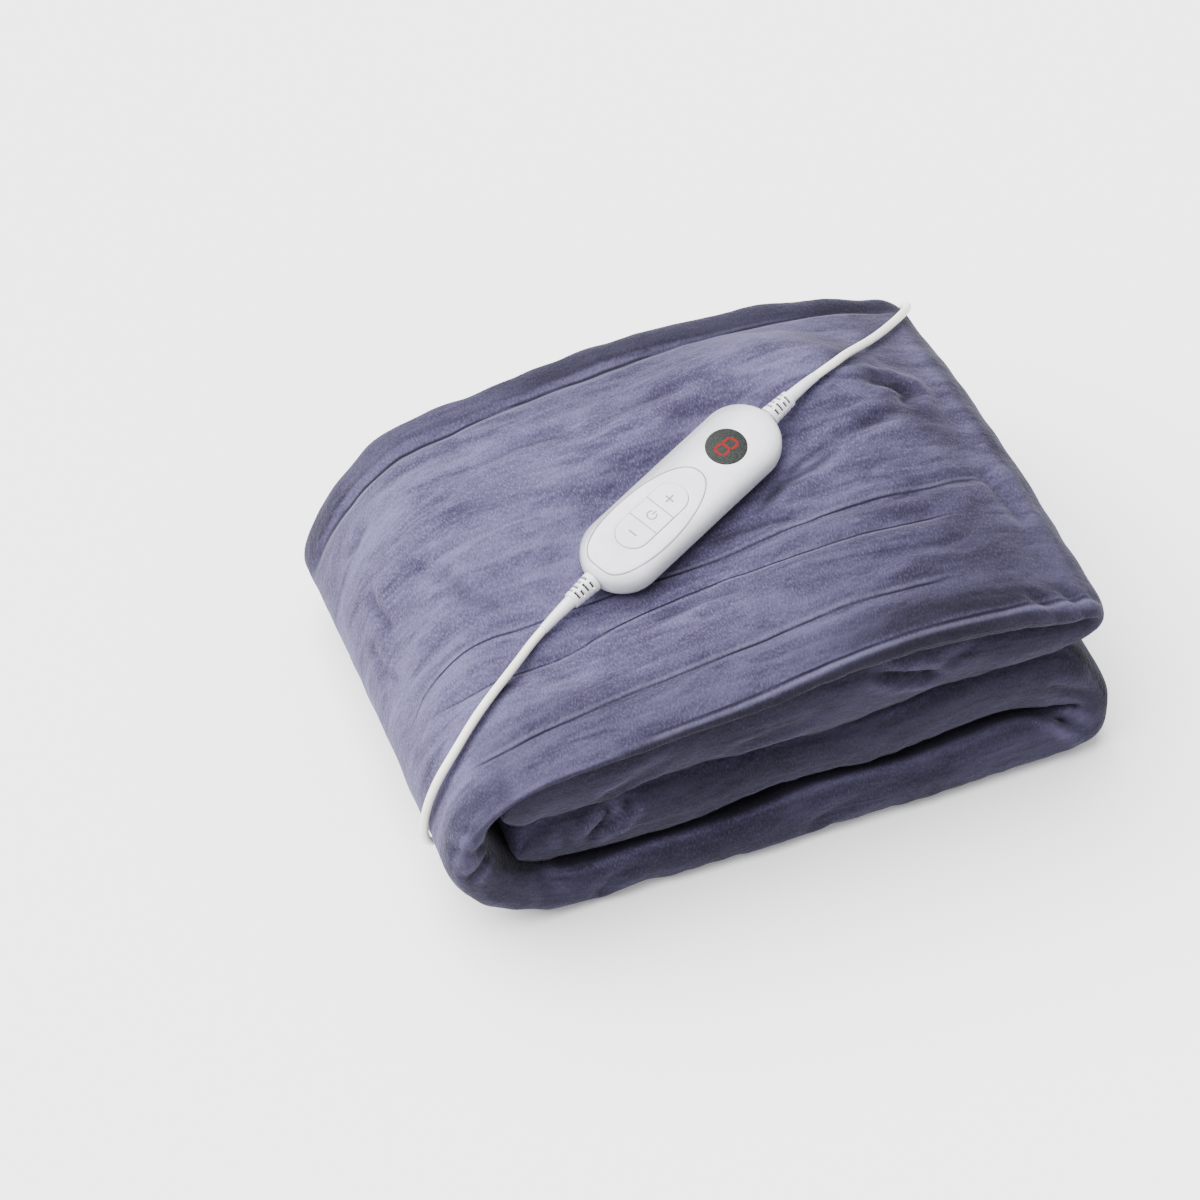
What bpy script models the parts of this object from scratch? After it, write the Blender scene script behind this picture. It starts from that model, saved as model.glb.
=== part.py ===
"""Folded electric heated blanket with its hand controller and mains lead.

Metres, +Z up.  The origin is at the bottom centre of the folded stack: +X runs
along the folds (to the two small folds), +Y to the rear edge, and the underside
of the lowest layer lies flat on Z = 0.  The blanket is one strip of folded cloth:
from a tip inside the stack it runs right, turns back over itself as the top
layer, goes round the big left-hand fold to the bottom layer, turns again at the
right and ends in a second tip inside the stack.
"""
import math

import bmesh
import bpy
from mathutils import Matrix, Vector

# ---------------------------------------------------------------- the blanket
STACK_DEPTH = 0.262          # front edge to rear edge
LAYER_GAP = 0.0014           # air between two layers that lie on each other
EDGE_POWER = 2.3             # fullness of the layers' rounded long edges

# Heights of each layer's upper side along the stack: at the front edge for the
# three covered layers, and at the front and rear edges for the top layer.
LEVEL_COLUMNS = ("x", "bottom", "third", "second", "top_front", "top_rear")
LEVEL_ROWS = (
    (-0.1557, 0.036, 0.060, 0.095, 0.1095, 0.1040),
    (-0.1157, 0.026, 0.063, 0.105, 0.1130, 0.1178),
    (-0.0757, 0.027, 0.069, 0.105, 0.1160, 0.1260),
    (-0.0357, 0.028, 0.065, 0.108, 0.1200, 0.1328),
    (0.0043, 0.032, 0.066, 0.114, 0.1270, 0.1360),
    (0.0443, 0.032, 0.066, 0.115, 0.1320, 0.1364),
    (0.0843, 0.033, 0.070, 0.115, 0.1350, 0.1342),
    (0.1243, 0.036, 0.075, 0.110, 0.1300, 0.1258),
    (0.1523, 0.030, 0.077, 0.103, 0.1200, 0.1160),
)
CROWN_RISE = 0.011           # how far the top layer swells above its two edges
CROWN_PEAK = 0.62            # where across the depth the swell is highest
CROWN_SHAPE = 1.2            # above 1 the swell is narrower than a sine wave
CROWN_SHARES = {"bottom": 0.10, "third": 0.25, "second": 0.45, "top": 1.0}

# One row for each straight run of the strip, in the order the strip is folded:
# which layer it is, where it starts and ends, and how far its front and rear
# edges stand behind the stack's own front and rear.
RUN_COLUMNS = ("layer", "x_start", "x_end", "front_inset", "rear_inset", "front_round", "wave",
               "stations", "rear_skew")
RUN_ROWS = (
    ("second", -0.1400, 0.1483, 0.0065, 0.0035, 0.0150, 0.0012, 11, 0.0130),
    ("top", 0.1483, -0.1237, -0.0012, 0.0010, 0.0180, 0.0008, 23, 0.0),
    ("bottom", -0.1057, 0.1463, 0.0005, 0.0000, 0.0150, 0.0008, 9, 0.0),
    ("third", 0.1463, -0.1250, 0.0075, 0.0030, 0.0160, 0.0015, 9, 0.0),
)
SKEW_START = -0.090          # a run's left-hand end is skewed by its rear_skew left of here,
SKEW_SPAN = 0.040            # over this distance, and most at the rear edge
REAR_ROUND = 0.0100          # depth of the rounding along the rear edges
WAVE_LENGTH = 0.112          # of the layers' uneven front edges
WAVE_SHIFT = 1.7             # by which the wave is turned from one layer to the next, in radians

# Each fold is a pair of half ovals, the outer and the inner side of the cloth.
# A sag above 1 lets the fold's widest place hang low, and one below 1 lifts it.
# A slope above 1 lets the fold's upper half fall away sooner.  Reach, sag and
# slope run evenly from the front edge to the rear edge.
FOLD_COLUMNS = ("outer_reach", "rear_reach", "inner_reach", "stations",
                "outer_sag", "rear_sag", "inner_sag", "inner_rear_sag", "rear_slope")
FOLD_ROWS = (
    (0.0280, 0.0250, 0.0130, 8, 1.00, 1.00, 1.00, 1.00, 1.30),    # upper right, second to top layer
    (0.0690, 0.0635, 0.0480, 14, 1.10, 1.45, 0.90, 1.35, 1.40),   # big left-hand fold, top to bottom
    (0.0385, 0.0320, 0.0180, 9, 1.60, 1.50, 1.00, 1.00, 1.00),    # lower right, bottom to third layer
)
TIP_LENGTH = 0.015           # rounded free end of the strip
TIP_STATIONS = 4
TIP_THICKNESS = 0.0016       # what is left of the cloth at the tip's very end
TIP_SHAPE = 0.8              # below 1 the tip is blunter than half an ellipse
THINNEST_CLOTH = 0.004       # a channel's depth is shared out over at least this thickness

# Sewn channels that show on the top layer and round the left-hand fold: how far
# behind the front edge each lies at the left, the middle and the right.
CHANNEL_COLUMNS = ("left", "middle", "right", "depth", "half_width")
CHANNEL_ROWS = (
    (0.0260, 0.0400, 0.0400, 0.0022, 0.0060),
    (0.0560, 0.0780, 0.0850, 0.0016, 0.0060),
    (0.0850, 0.0960, 0.1020, 0.0022, 0.0060),
    (0.2390, 0.2400, 0.2450, 0.0026, 0.0050),
)
PLAIN_STATIONS = (0.122, 0.140, 0.158, 0.176, 0.194, 0.214)    # further stations behind the front edge
EDGE_STATIONS = 4
CHANNEL_START = -0.1437      # x of the channels' left-hand values
CHANNEL_SPAN = 0.2800        # from there to their right-hand values
CHANNEL_FADE = 0.035         # the channels run out this far before the right-hand fold
CHANNEL_FOLD_SHARE = 0.375   # and over the lowest part of the left-hand fold

# ------------------------------------------------------------- the controller
SEAT_POINT = Vector((-0.0100, -0.0018, 0.1335))   # middle of the controller's base
SEAT_TILT = math.radians(13.5)      # how far the seat leans towards the front
LEAN_HEADING = Vector((-0.440, -0.898, 0.0))      # the way it leans
AXIS_HEADING = Vector((0.8983, 0.4394, 0.0))      # the controller's long axis, seen from above
SEAT_INNER = 0.030           # the cloth follows the seat plane this far from the axis
SEAT_OUTER = 0.084           # and is free of it here
SEAT_HALF_LENGTH = 0.066
SEAT_BANK = 0.0036            # how far the cloth rises round the housing
SEAT_BANK_START = 0.007      # how far from the housing it begins to rise
SEAT_BANK_WIDTH = 0.020      # and over what distance it does so

HOUSING_LENGTH = 0.132
HOUSING_WIDTH = 0.0435
BASE_HEIGHT = 0.0085
COVER_HEIGHT = 0.0095
EDGE_INSET = 0.0042          # how far the rounded edge draws in at top and bottom
PART_GAP = 0.0003            # air between two fitted pieces
CUTTER_REACH = 0.004         # how far a cutter stands out of what it cuts
MANY_SIDES = 8               # a face with more sides than this is a flat end
WELD = 0.00001               # points closer than this are one point

DISPLAY_CENTRE = 0.0340
DISPLAY_RADIUS = 0.0110
DISPLAY_DEPTH = 0.0012
DISPLAY_SUNK = 0.0002        # how far the window lies below the cover's face

PANEL_CENTRE = -0.0236
PANEL_HALF_LENGTH = 0.0374
PANEL_HALF_WIDTH = 0.0174
PANEL_EGG = 0.17             # how much blunter the panel is at its lower end
PANEL_DEPTH = 0.0014
PANEL_PROUD = 0.0003
PANEL_EDGE = 0.0004          # how far the panel's rim is drawn in
PANEL_RIM = 0.4              # share of its proud height where the rim begins
PANEL_BULGE = 0.85           # below 1 the egg is fuller than an ellipse

KEY_CENTRE = -0.0220
KEY_ROW_LENGTH = 0.0460
KEY_ROW_WIDTH = 0.0185
KEY_MIDDLE_LENGTH = 0.0127
KEY_HEIGHT = 0.0022
KEY_PROUD = 0.0007
KEY_TRAVEL = 0.0006
KEY_SLOT = 0.0006            # air between two neighbouring keys
KEY_EDGE = (0.0005, 0.0001)  # below its face, where a key's rounding starts and steepens
KEY_ROUND = (0.0002, 0.0007)    # how far its outline is drawn in at the second and at its face

RELIEF_ROOT = 0.0050         # what is held inside the housing
RELIEF_NECK_RADIUS = 0.0040  # of the root
RELIEF_RIBBED = 0.0160       # length of the grooved part outside the housing
RELIEF_RADIUS = 0.0058       # of the grooved part where it begins
RELIEF_END_RADIUS = 0.0048   # and where it ends
RELIEF_GROOVES = 4
RELIEF_SIDES = 18            # sides of its round section
RELIEF_GROOVE_DEPTH = 0.0010
RELIEF_RIB_SHARE = 0.60      # of each rib and groove together, the part that is rib
RELIEF_GROOVE_SHARES = (0.66, 0.94)    # and where the groove's floor starts and ends
RELIEF_RIB_TAPER = 0.0001    # how much narrower each rib is at its outer end
RELIEF_SHOULDER = 0.0004     # air between the housing and the first rib
RELIEF_TAIL = 0.0200         # length of the plain tail that follows
RELIEF_TAIL_RADIUS = 0.0036  # where the tail begins
RELIEF_TIP_RADIUS = 0.0027   # and where the cord comes out
RELIEF_DROOP = 0.0022        # how far the tail bends down to the cloth

# ------------------------------------------------------------------ the cords
CORD_DIAMETER = 0.0045
CORD_STEP = 0.0100           # distance between two points of a cord's tube
SPLINE_STEPS = 12            # fine steps for each point of a route
CORD_GAP = 0.0004            # air between a cord and the end of what holds it
CORD_LEAD = 0.0080           # how far a cord keeps the direction of what holds it
CORD_ROUNDNESS = 3           # steps in each quarter of the cord's section
COIL_RAISE = 0.0006          # the lead comes to the coil's top turn from this far above it

# The mains lead leaves the display end, crosses the top layer to its rear right
# corner, drops behind the stack and runs into the coil.
MAINS_ROUTE = (
    (0.0945, 0.0440, 0.1588),
    (0.1040, 0.0530, 0.1535),
    (0.1160, 0.0640, 0.1448),
    (0.1300, 0.0760, 0.1356),
    (0.1440, 0.0875, 0.1292),
    (0.1565, 0.0985, 0.1236),
    (0.1675, 0.1110, 0.1160),
    (0.1745, 0.1245, 0.1055),
    (0.1745, 0.1385, 0.0915),
    (0.1650, 0.1485, 0.0730),
    (0.1490, 0.1545, 0.0530),
    (0.1270, 0.1545, 0.0365),
    (0.1040, 0.1525, 0.0250),
    (0.0850, 0.1500, 0.0185),
)
# The blanket's own lead leaves the other end, goes down over the big left-hand
# fold, tucks in under it along the floor and enters the blanket at the rear.
BLANKET_ROUTE = (
    (-0.1180, -0.0570, 0.1200),
    (-0.1310, -0.0670, 0.1187),
    (-0.1440, -0.0755, 0.1155),
    (-0.1560, -0.0825, 0.1088),
    (-0.1665, -0.0890, 0.1005),
    (-0.1765, -0.0935, 0.0915),
    (-0.1835, -0.0950, 0.0775),
    (-0.1862, -0.0935, 0.0620),
    (-0.1855, -0.0895, 0.0465),
    (-0.1815, -0.0835, 0.0330),
    (-0.1755, -0.0750, 0.0225),
    (-0.1690, -0.0645, 0.0135),
    (-0.1630, -0.0520, 0.0072),
    (-0.1580, -0.0370, 0.0040),
    (-0.1550, -0.0180, 0.0026),
    (-0.1540, 0.0200, 0.0026),
    (-0.1540, 0.0700, 0.0026),
    (-0.1535, 0.1100, 0.0028),
    (-0.1510, 0.1380, 0.0045),
    (-0.1410, 0.1570, 0.0085),
    (-0.1250, 0.1610, 0.0130),
    (-0.1107, 0.1520, 0.0180),
)
BLANKET_ENTRY = Vector((-0.1057, 0.1311, 0.0210))

COIL_RADIUS = 0.0255         # to the middle of the turns
COIL_TURNS_WIDE = 3
COIL_TURNS_HIGH = 4
COIL_SLACK = 0.0003          # by which the turns spread the coil at each side
COIL_CENTRE = Vector((0.0463, 0.1790, 0.0))
COIL_STEPS = 32
COIL_MEETING = 0.0178        # how far beside the coil's middle the lead meets and leaves it

PLUG_ENTRY = Vector((-0.0117, 0.1535, 0.0075))    # rear end of the plug, on its axis
PLUG_HEADING = Vector((-1.0, 0.10, 0.0))
# Sections of the plug from the cord to its face.
PLUG_COLUMNS = ("distance", "half_width", "half_height")
PLUG_ROWS = (
    (0.0000, 0.0037, 0.0037),
    (0.0120, 0.0046, 0.0044),
    (0.0150, 0.0075, 0.0058),
    (0.0210, 0.0112, 0.0070),
    (0.0300, 0.0125, 0.0072),
    (0.0440, 0.0140, 0.0072),
    (0.0460, 0.0132, 0.0064),
)
PLUG_CORNERS = 3.2           # squareness of its sections
PLUG_SIDES = 24              # sides of its sections
PIN_SIDES = 16
PIN_RADIUS = 0.0020
PIN_LENGTH = 0.0190
PIN_ROOT = 0.0060
PIN_PITCH = 0.0186

FABRIC = ("fabric", (0.150, 0.145, 0.235, 1.0), 0.95)
WHITE_PLASTIC = ("white_plastic", (0.80, 0.80, 0.82, 1.0), 0.32)
KEY_FILM = ("key_film", (0.72, 0.72, 0.76, 1.0), 0.45)
DARK_WINDOW = ("dark_window", (0.035, 0.045, 0.045, 1.0), 0.15)
CORD_WHITE = ("cord_white", (0.78, 0.77, 0.74, 1.0), 0.45)
METAL = ("pin_metal", (0.75, 0.74, 0.70, 1.0), 0.25)


# ------------------------------------------------------------ numbers in tables
def smooth_step(t):
    t = min(1.0, max(0.0, t))
    return t * t * (3.0 - 2.0 * t)


def table_value(rows, columns, name, x):
    """Read one column of a table at x, on a smooth curve through its rows."""
    column = columns.index(name)
    xs = [row[0] for row in rows]
    values = [row[column] for row in rows]
    if x <= xs[0]:
        return values[0]
    if x >= xs[-1]:
        return values[-1]
    i = max(k for k in range(len(xs) - 1) if xs[k] <= x)
    before = values[max(i - 1, 0)]
    after = values[min(i + 2, len(values) - 1)]
    t = (x - xs[i]) / (xs[i + 1] - xs[i])
    start, end = values[i], values[i + 1]
    slope_start = (end - before) / 2.0
    slope_end = (after - start) / 2.0
    return ((2 * t**3 - 3 * t**2 + 1) * start + (t**3 - 2 * t**2 + t) * slope_start
            + (3 * t**2 - 2 * t**3) * end + (t**3 - t**2) * slope_end)


# --------------------------------------------------------- surfaces of the layers
def crown(across):
    """Swell of the stack across its depth, 0 at the edges and 1 at its peak."""
    if across < CROWN_PEAK:
        return math.sin(0.5 * math.pi * across / CROWN_PEAK) ** CROWN_SHAPE
    return math.sin(0.5 * math.pi * (1.0 - across) / (1.0 - CROWN_PEAK)) ** CROWN_SHAPE


def seat_axes():
    normal = LEAN_HEADING.normalized() * math.sin(SEAT_TILT) + Vector((0, 0, math.cos(SEAT_TILT)))
    along = AXIS_HEADING - normal * AXIS_HEADING.dot(normal)
    along.normalize()
    side = normal.cross(along)
    return along, side, normal


def seat_pull(x, y):
    """How firmly the controller's seat holds the cloth at a place, 0 to 1, and its height there."""
    along, side, normal = seat_axes()
    offset = Vector((x - SEAT_POINT.x, y - SEAT_POINT.y, 0.0))
    height = SEAT_POINT.z - (normal.x * offset.x + normal.y * offset.y) / normal.z
    down_axis = abs(offset.dot(along))
    across_axis = offset.dot(side)
    distance = math.hypot(max(0.0, down_axis - SEAT_HALF_LENGTH), across_axis)
    pull = 1.0 - smooth_step((distance - SEAT_INNER) / (SEAT_OUTER - SEAT_INNER))
    straight = (HOUSING_LENGTH - HOUSING_WIDTH) / 2
    beside = math.hypot(max(0.0, down_axis - straight), across_axis) - HOUSING_WIDTH / 2
    return pull, height - LAYER_GAP + SEAT_BANK * smooth_step((beside - SEAT_BANK_START) / SEAT_BANK_WIDTH)


def level(layer, x, y):
    """Height of a layer's upper side."""
    across = min(1.0, max(0.0, y / STACK_DEPTH + 0.5))
    top_front = table_value(LEVEL_ROWS, LEVEL_COLUMNS, "top_front", x)
    top_rear = table_value(LEVEL_ROWS, LEVEL_COLUMNS, "top_rear", x)
    rise = CROWN_RISE * CROWN_SHARES[layer] * crown(across)
    if layer == "top":
        height = top_front + (top_rear - top_front) * across + rise
        pull, seat_height = seat_pull(x, y)
        return height + pull * (seat_height - height)
    front = table_value(LEVEL_ROWS, LEVEL_COLUMNS, layer, x)
    rear = front * top_rear / top_front
    return front + (rear - front) * across + rise


LAYER_ORDER = ("bottom", "third", "second", "top")


def underside(layer, x, y):
    place = LAYER_ORDER.index(layer)
    if place == 0:
        return 0.0
    return level(LAYER_ORDER[place - 1], x, y) + LAYER_GAP


# ------------------------------------------------------------- the folded strip
def oval_side(x, reach, high, low, angle, sag, slope=1.0):
    """A point of a fold's half oval: it bulges by reach from x, between two heights."""
    rise = math.sin(angle)
    if rise > 0.0:
        rise **= slope
    share = (1.0 + rise) / 2.0
    return x + reach * math.cos(angle), low + (high - low) * share ** sag


def front_wave(run, x):
    """Unevenness of a layer's front edge."""
    phase = LAYER_ORDER.index(run["layer"]) * WAVE_SHIFT
    return run["wave"] * math.sin(2 * math.pi * x / WAVE_LENGTH + phase)


def strip_stations():
    """The strip's stations from tip to tip: a function of y giving its two sides,
    its edge insets and rounding, and how strongly the channels show there."""
    runs = [dict(zip(RUN_COLUMNS, row)) for row in RUN_ROWS]
    folds = [dict(zip(FOLD_COLUMNS, row)) for row in FOLD_ROWS]
    stations = []

    def run_station(run, x, full=1.0, reach=0.0):
        outer_up = run["layer"] in ("top", "third")

        def sides(y):
            across = y / STACK_DEPTH + 0.5
            place = x + run["rear_skew"] * across * smooth_step((SKEW_START - x) / SKEW_SPAN)
            high = level(run["layer"], place, y)
            low = underside(run["layer"], place, y)
            middle = (high + low) / 2.0
            half = max((high - low) / 2.0 * full, TIP_THICKNESS / 2.0)
            up = (place + reach, middle + half)
            down = (place + reach, middle - half)
            return (up, down) if outer_up else (down, up)
        shown = smooth_step((run["x_start"] - x) / CHANNEL_FADE) if run["layer"] == "top" else 0.0
        front = run["front_inset"] + front_wave(run, x)
        stations.append((sides, front, run["rear_inset"], run["front_round"], shown))

    def tip(run, x, heading, outward):
        order = range(TIP_STATIONS - 1, -1, -1) if outward else range(TIP_STATIONS)
        for k in order:
            angle = 0.5 * math.pi * k / TIP_STATIONS
            run_station(run, x, math.sin(angle) ** TIP_SHAPE,
                        heading * TIP_LENGTH * math.cos(angle))

    def fold_station(fold, first, second, turn, t):
        x = first["x_end"] + (second["x_start"] - first["x_end"]) * smooth_step(t)
        angle = math.pi * (t - 0.5) if turn == "up" else math.pi * (0.5 - t)
        heading = 1.0 if x > 0 else -1.0

        def sides(y):
            if turn == "up":
                lower, upper = first, second
            else:
                lower, upper = second, first
            across = y / STACK_DEPTH + 0.5
            reach = fold["outer_reach"] + (fold["rear_reach"] - fold["outer_reach"]) * across
            sag = fold["outer_sag"] + (fold["rear_sag"] - fold["outer_sag"]) * across
            slope = 1.0 + (fold["rear_slope"] - 1.0) * across
            outer_high = level(upper["layer"], x + heading * reach * math.cos(angle), y)
            outer_low = underside(lower["layer"], x, y)
            inner_reach = heading * fold["inner_reach"]
            inner_sag = fold["inner_sag"] + (fold["inner_rear_sag"] - fold["inner_sag"]) * across
            inner_x = x + inner_reach * math.cos(angle) * across
            inner_high = underside(upper["layer"], inner_x, y)
            inner_low = level(lower["layer"], inner_x, y)
            outer = oval_side(x, heading * reach, outer_high, outer_low, angle, sag, slope)
            inner = oval_side(x, inner_reach, inner_high, inner_low, angle, inner_sag, slope)
            return outer, inner
        mix = smooth_step(t)
        edge = [first[key] + (second[key] - first[key]) * mix
                for key in ("front_inset", "rear_inset", "front_round")]
        edge[0] += front_wave(first, first["x_end"]) * (1.0 - mix)
        edge[0] += front_wave(second, second["x_start"]) * mix
        upper_share = mix if turn == "up" else 1.0 - mix
        held = (upper_share - CHANNEL_FOLD_SHARE) / (1.0 - CHANNEL_FOLD_SHARE)
        shown = smooth_step(held) if first["layer"] == "top" else 0.0
        stations.append((sides, *edge, shown))

    tip(runs[0], runs[0]["x_start"], -1.0, False)
    for number, run in enumerate(runs):
        for k in range(run["stations"]):
            t = k / (run["stations"] - 1)
            run_station(run, run["x_start"] + (run["x_end"] - run["x_start"]) * t)
        if number < len(folds):
            fold = folds[number]
            following = runs[number + 1]
            turn = "down" if run["layer"] == "top" else "up"
            for k in range(1, fold["stations"]):
                fold_station(fold, run, following, turn, k / fold["stations"])
    tip(runs[-1], runs[-1]["x_end"], -1.0, True)
    return stations


def channel_positions(x):
    """Distances of the channels behind the front edge at x, with depth and half width."""
    share = min(1.0, max(0.0, (x - CHANNEL_START) / CHANNEL_SPAN))
    for row in CHANNEL_ROWS:
        channel = dict(zip(CHANNEL_COLUMNS, row))
        ends = (channel["left"], channel["middle"], channel["right"])
        if share < 0.5:
            place = ends[0] + (ends[1] - ends[0]) * smooth_step(share * 2.0)
        else:
            place = ends[1] + (ends[2] - ends[1]) * smooth_step(share * 2.0 - 1.0)
        yield place, channel["depth"], channel["half_width"]


def edge_fullness(distance, rounding):
    """Share of the cloth's thickness that is left at a distance from its edge."""
    if distance >= rounding:
        return 1.0
    return (1.0 - (1.0 - distance / rounding) ** EDGE_POWER) ** (1.0 / EDGE_POWER)


def across_stations(x, front, rear, rounding):
    """Places across the strip, front to rear: y, fullness of the edge and channel depth."""
    span = rear - front

    def place(distance, depth=0.0):
        full = min(edge_fullness(distance, rounding), edge_fullness(span - distance, REAR_ROUND))
        return front + distance, full, depth

    turns = [1.0 - math.cos(0.5 * math.pi * k / EDGE_STATIONS) for k in range(EDGE_STATIONS)]
    channels = list(channel_positions(x))
    last = channels[-1]
    places = [place(rounding * turn) for turn in turns]
    for middle, depth, half_width in channels[:-1]:
        places += [place(middle - half_width), place(middle, depth), place(middle + half_width)]
    places += [place(distance) for distance in PLAIN_STATIONS]
    places += [place(last[0] - last[2]), place(last[0], last[1])]
    places += [place(span - REAR_ROUND * turn) for turn in reversed(turns)]
    return places


def make_blanket(collection):
    mesh = bmesh.new()
    loops = []
    for sides, front_inset, rear_inset, rounding, shown in strip_stations():
        front = -STACK_DEPTH / 2 + front_inset
        rear = STACK_DEPTH / 2 - rear_inset
        centre_x = sides(0.0)[0][0]
        outer_row, inner_row = [], []
        for y, full, groove in across_stations(centre_x, front, rear, rounding):
            (ox, oz), (ix, iz) = sides(y)
            middle = Vector(((ox + ix) / 2, y, (oz + iz) / 2))
            outer = Vector((ox, y, oz))
            inner = Vector((ix, y, iz))
            thickness = (outer - inner).length
            sunk = 1.0 - 2.0 * groove * shown / max(thickness, THINNEST_CLOTH)
            outer_row.append(middle + (outer - middle) * full * sunk)
            inner_row.append(middle + (inner - middle) * full)
        loops.append(outer_row + inner_row[-2:0:-1])
    rings = [[mesh.verts.new(point) for point in loop] for loop in loops]
    count = len(rings[0])
    half = count // 2
    for ring, following in zip(rings, rings[1:]):
        for k in range(count):
            n = (k + 1) % count
            mesh.faces.new((ring[k], ring[n], following[n], following[k]))
    for ring in (rings[0], rings[-1]):
        for k in range(half):
            corners = [ring[k], ring[k + 1], ring[-(k + 1)], ring[-k] if k else ring[0]]
            unique = list(dict.fromkeys(corners))
            if len(unique) > 2:
                mesh.faces.new(unique)
    bmesh.ops.recalc_face_normals(mesh, faces=mesh.faces)
    return new_object("blanket", mesh, FABRIC, collection, math.radians(60))


# ---------------------------------------------------------------- small helpers
MATERIALS = {}


def material(finish):
    name, colour, roughness = finish
    if name not in MATERIALS:
        made = bpy.data.materials.new(name)
        made.use_nodes = True
        shader = made.node_tree.nodes["Principled BSDF"]
        shader.inputs["Base Color"].default_value = colour
        shader.inputs["Roughness"].default_value = roughness
        shader.inputs["Metallic"].default_value = 1.0 if finish is METAL else 0.0
        MATERIALS[name] = made
    return MATERIALS[name]


def new_object(name, mesh, finish, collection, sharp=math.radians(35)):
    """Turn a bmesh into a named object with its own material."""
    data = bpy.data.meshes.new(name)
    mesh.to_mesh(data)
    mesh.free()
    data.shade_smooth()
    data.set_sharp_from_angle(angle=sharp)
    caps = [face for face in data.polygons if len(face.vertices) > MANY_SIDES]
    flat_edges = {key for face in caps for key in face.edge_keys}
    for edge in data.edges:
        if edge.key in flat_edges:
            edge.use_edge_sharp = True
    made = bpy.data.objects.new(name, data)
    data.materials.append(material(finish))
    collection.objects.link(made)
    return made


def lofted(outline, levels):
    """A closed body of stacked outlines: outline(inset) gives points, levels are (inset, height)."""
    mesh = bmesh.new()
    rings = [[mesh.verts.new((x, y, height)) for x, y in outline(inset)]
             for inset, height in levels]
    for ring, following in zip(rings, rings[1:]):
        for k in range(len(ring)):
            n = (k + 1) % len(ring)
            mesh.faces.new((ring[k], ring[n], following[n], following[k]))
    mesh.faces.new(list(reversed(rings[0])))
    mesh.faces.new(rings[-1])
    bmesh.ops.recalc_face_normals(mesh, faces=mesh.faces)
    return mesh


def stadium(length, width, steps=9):
    """A long outline with half-round ends, drawn in by an inset."""
    def outline(inset):
        radius = width / 2 - inset
        reach = (length - width) / 2
        points = []
        for side in (1, -1):
            for k in range(steps + 1):
                angle = -0.5 * math.pi + math.pi * k / steps
                points.append((side * (reach + radius * math.cos(angle)),
                               side * radius * math.sin(angle)))
        return points
    return outline


def disc(radius, centre, steps=32):
    def outline(inset):
        return [(centre + (radius - inset) * math.cos(2 * math.pi * k / steps),
                 (radius - inset) * math.sin(2 * math.pi * k / steps)) for k in range(steps)]
    return outline


def egg(centre, half_length, half_width, steps=36):
    def outline(inset):
        points = []
        for k in range(steps):
            angle = 2 * math.pi * k / steps
            c, s = math.cos(angle), math.sin(angle)
            bulge = math.copysign(abs(s) ** PANEL_BULGE, s) * (1.0 - PANEL_EGG * c)
            points.append((centre + (half_length - inset) * c, (half_width - inset) * bulge))
        return points
    return outline


def key_outline(start, end, round_start, round_end, steps=7):
    """A key's outline: straight across where it meets its neighbour, round at its free end."""
    def outline(inset):
        radius = KEY_ROW_WIDTH / 2 - inset
        points = []
        if round_end:
            for k in range(steps + 1):
                angle = -0.5 * math.pi + math.pi * k / steps
                middle = end - KEY_ROW_WIDTH / 2
                points.append((middle + radius * math.cos(angle), radius * math.sin(angle)))
        else:
            points += [(end - inset, -radius), (end - inset, radius)]
        if round_start:
            for k in range(steps + 1):
                angle = 0.5 * math.pi + math.pi * k / steps
                middle = start + KEY_ROW_WIDTH / 2
                points.append((middle + radius * math.cos(angle), radius * math.sin(angle)))
        else:
            points += [(start + inset, radius), (start + inset, -radius)]
        return points
    return outline


def edge_levels(height, sign, steps=5):
    """Insets and heights of a housing half whose free edge is rounded over."""
    levels = []
    for k in range(steps + 1):
        angle = 0.5 * math.pi * k / steps
        levels.append((EDGE_INSET * (1.0 - math.cos(angle)), sign * height * math.sin(angle)))
    return levels


def cut(target, cutter):
    """Take the cutter out of the target, as a Boolean modifier."""
    cut_modifier = target.modifiers.new("cut_" + cutter.name, "BOOLEAN")
    cut_modifier.operation = "DIFFERENCE"
    cut_modifier.object = cutter
    cutter.hide_render = True
    cutter.display_type = "WIRE"


def cylinder_between(start, end, radius, name, finish, collection, steps=24):
    mesh = bmesh.new()
    bmesh.ops.create_cone(mesh, cap_ends=True, segments=steps, radius1=radius, radius2=radius,
                          depth=(end - start).length)
    turn = (end - start).to_track_quat("Z", "Y").to_matrix().to_4x4()
    bmesh.ops.transform(mesh, matrix=Matrix.Translation((start + end) / 2) @ turn, verts=mesh.verts)
    return new_object(name, mesh, finish, collection)


# --------------------------------------------------------------- the controller
def controller_matrix():
    """Local frame of the controller: X along it to the display, Z out of its face,
    origin in the parting plane between base and cover."""
    along, side, normal = seat_axes()
    turn = Matrix((along, side, normal)).transposed().to_4x4()
    return Matrix.Translation(SEAT_POINT + normal * BASE_HEIGHT) @ turn


def turned(name, profile, steps, finish, collection, closed=False):
    """A profile of (radius, height) points, bottom to top, turned round Z."""
    outline = bpy.data.meshes.new(name + "_profile")
    points = [(radius, 0.0, height) for radius, height in reversed(profile)]
    edges = [(k, k + 1) for k in range(len(points) - 1)]
    if closed:
        edges.append((len(points) - 1, 0))
    outline.from_pydata(points, edges, [])
    holder = bpy.data.objects.new(name + "_profile", outline)
    collection.objects.link(holder)
    screw = holder.modifiers.new("turn", "SCREW")
    screw.axis = "Z"
    screw.angle = 2 * math.pi
    screw.steps = steps
    screw.render_steps = steps
    screw.use_merge_vertices = True
    screw.merge_threshold = WELD
    return remade(name, holder, finish, collection)


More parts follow.
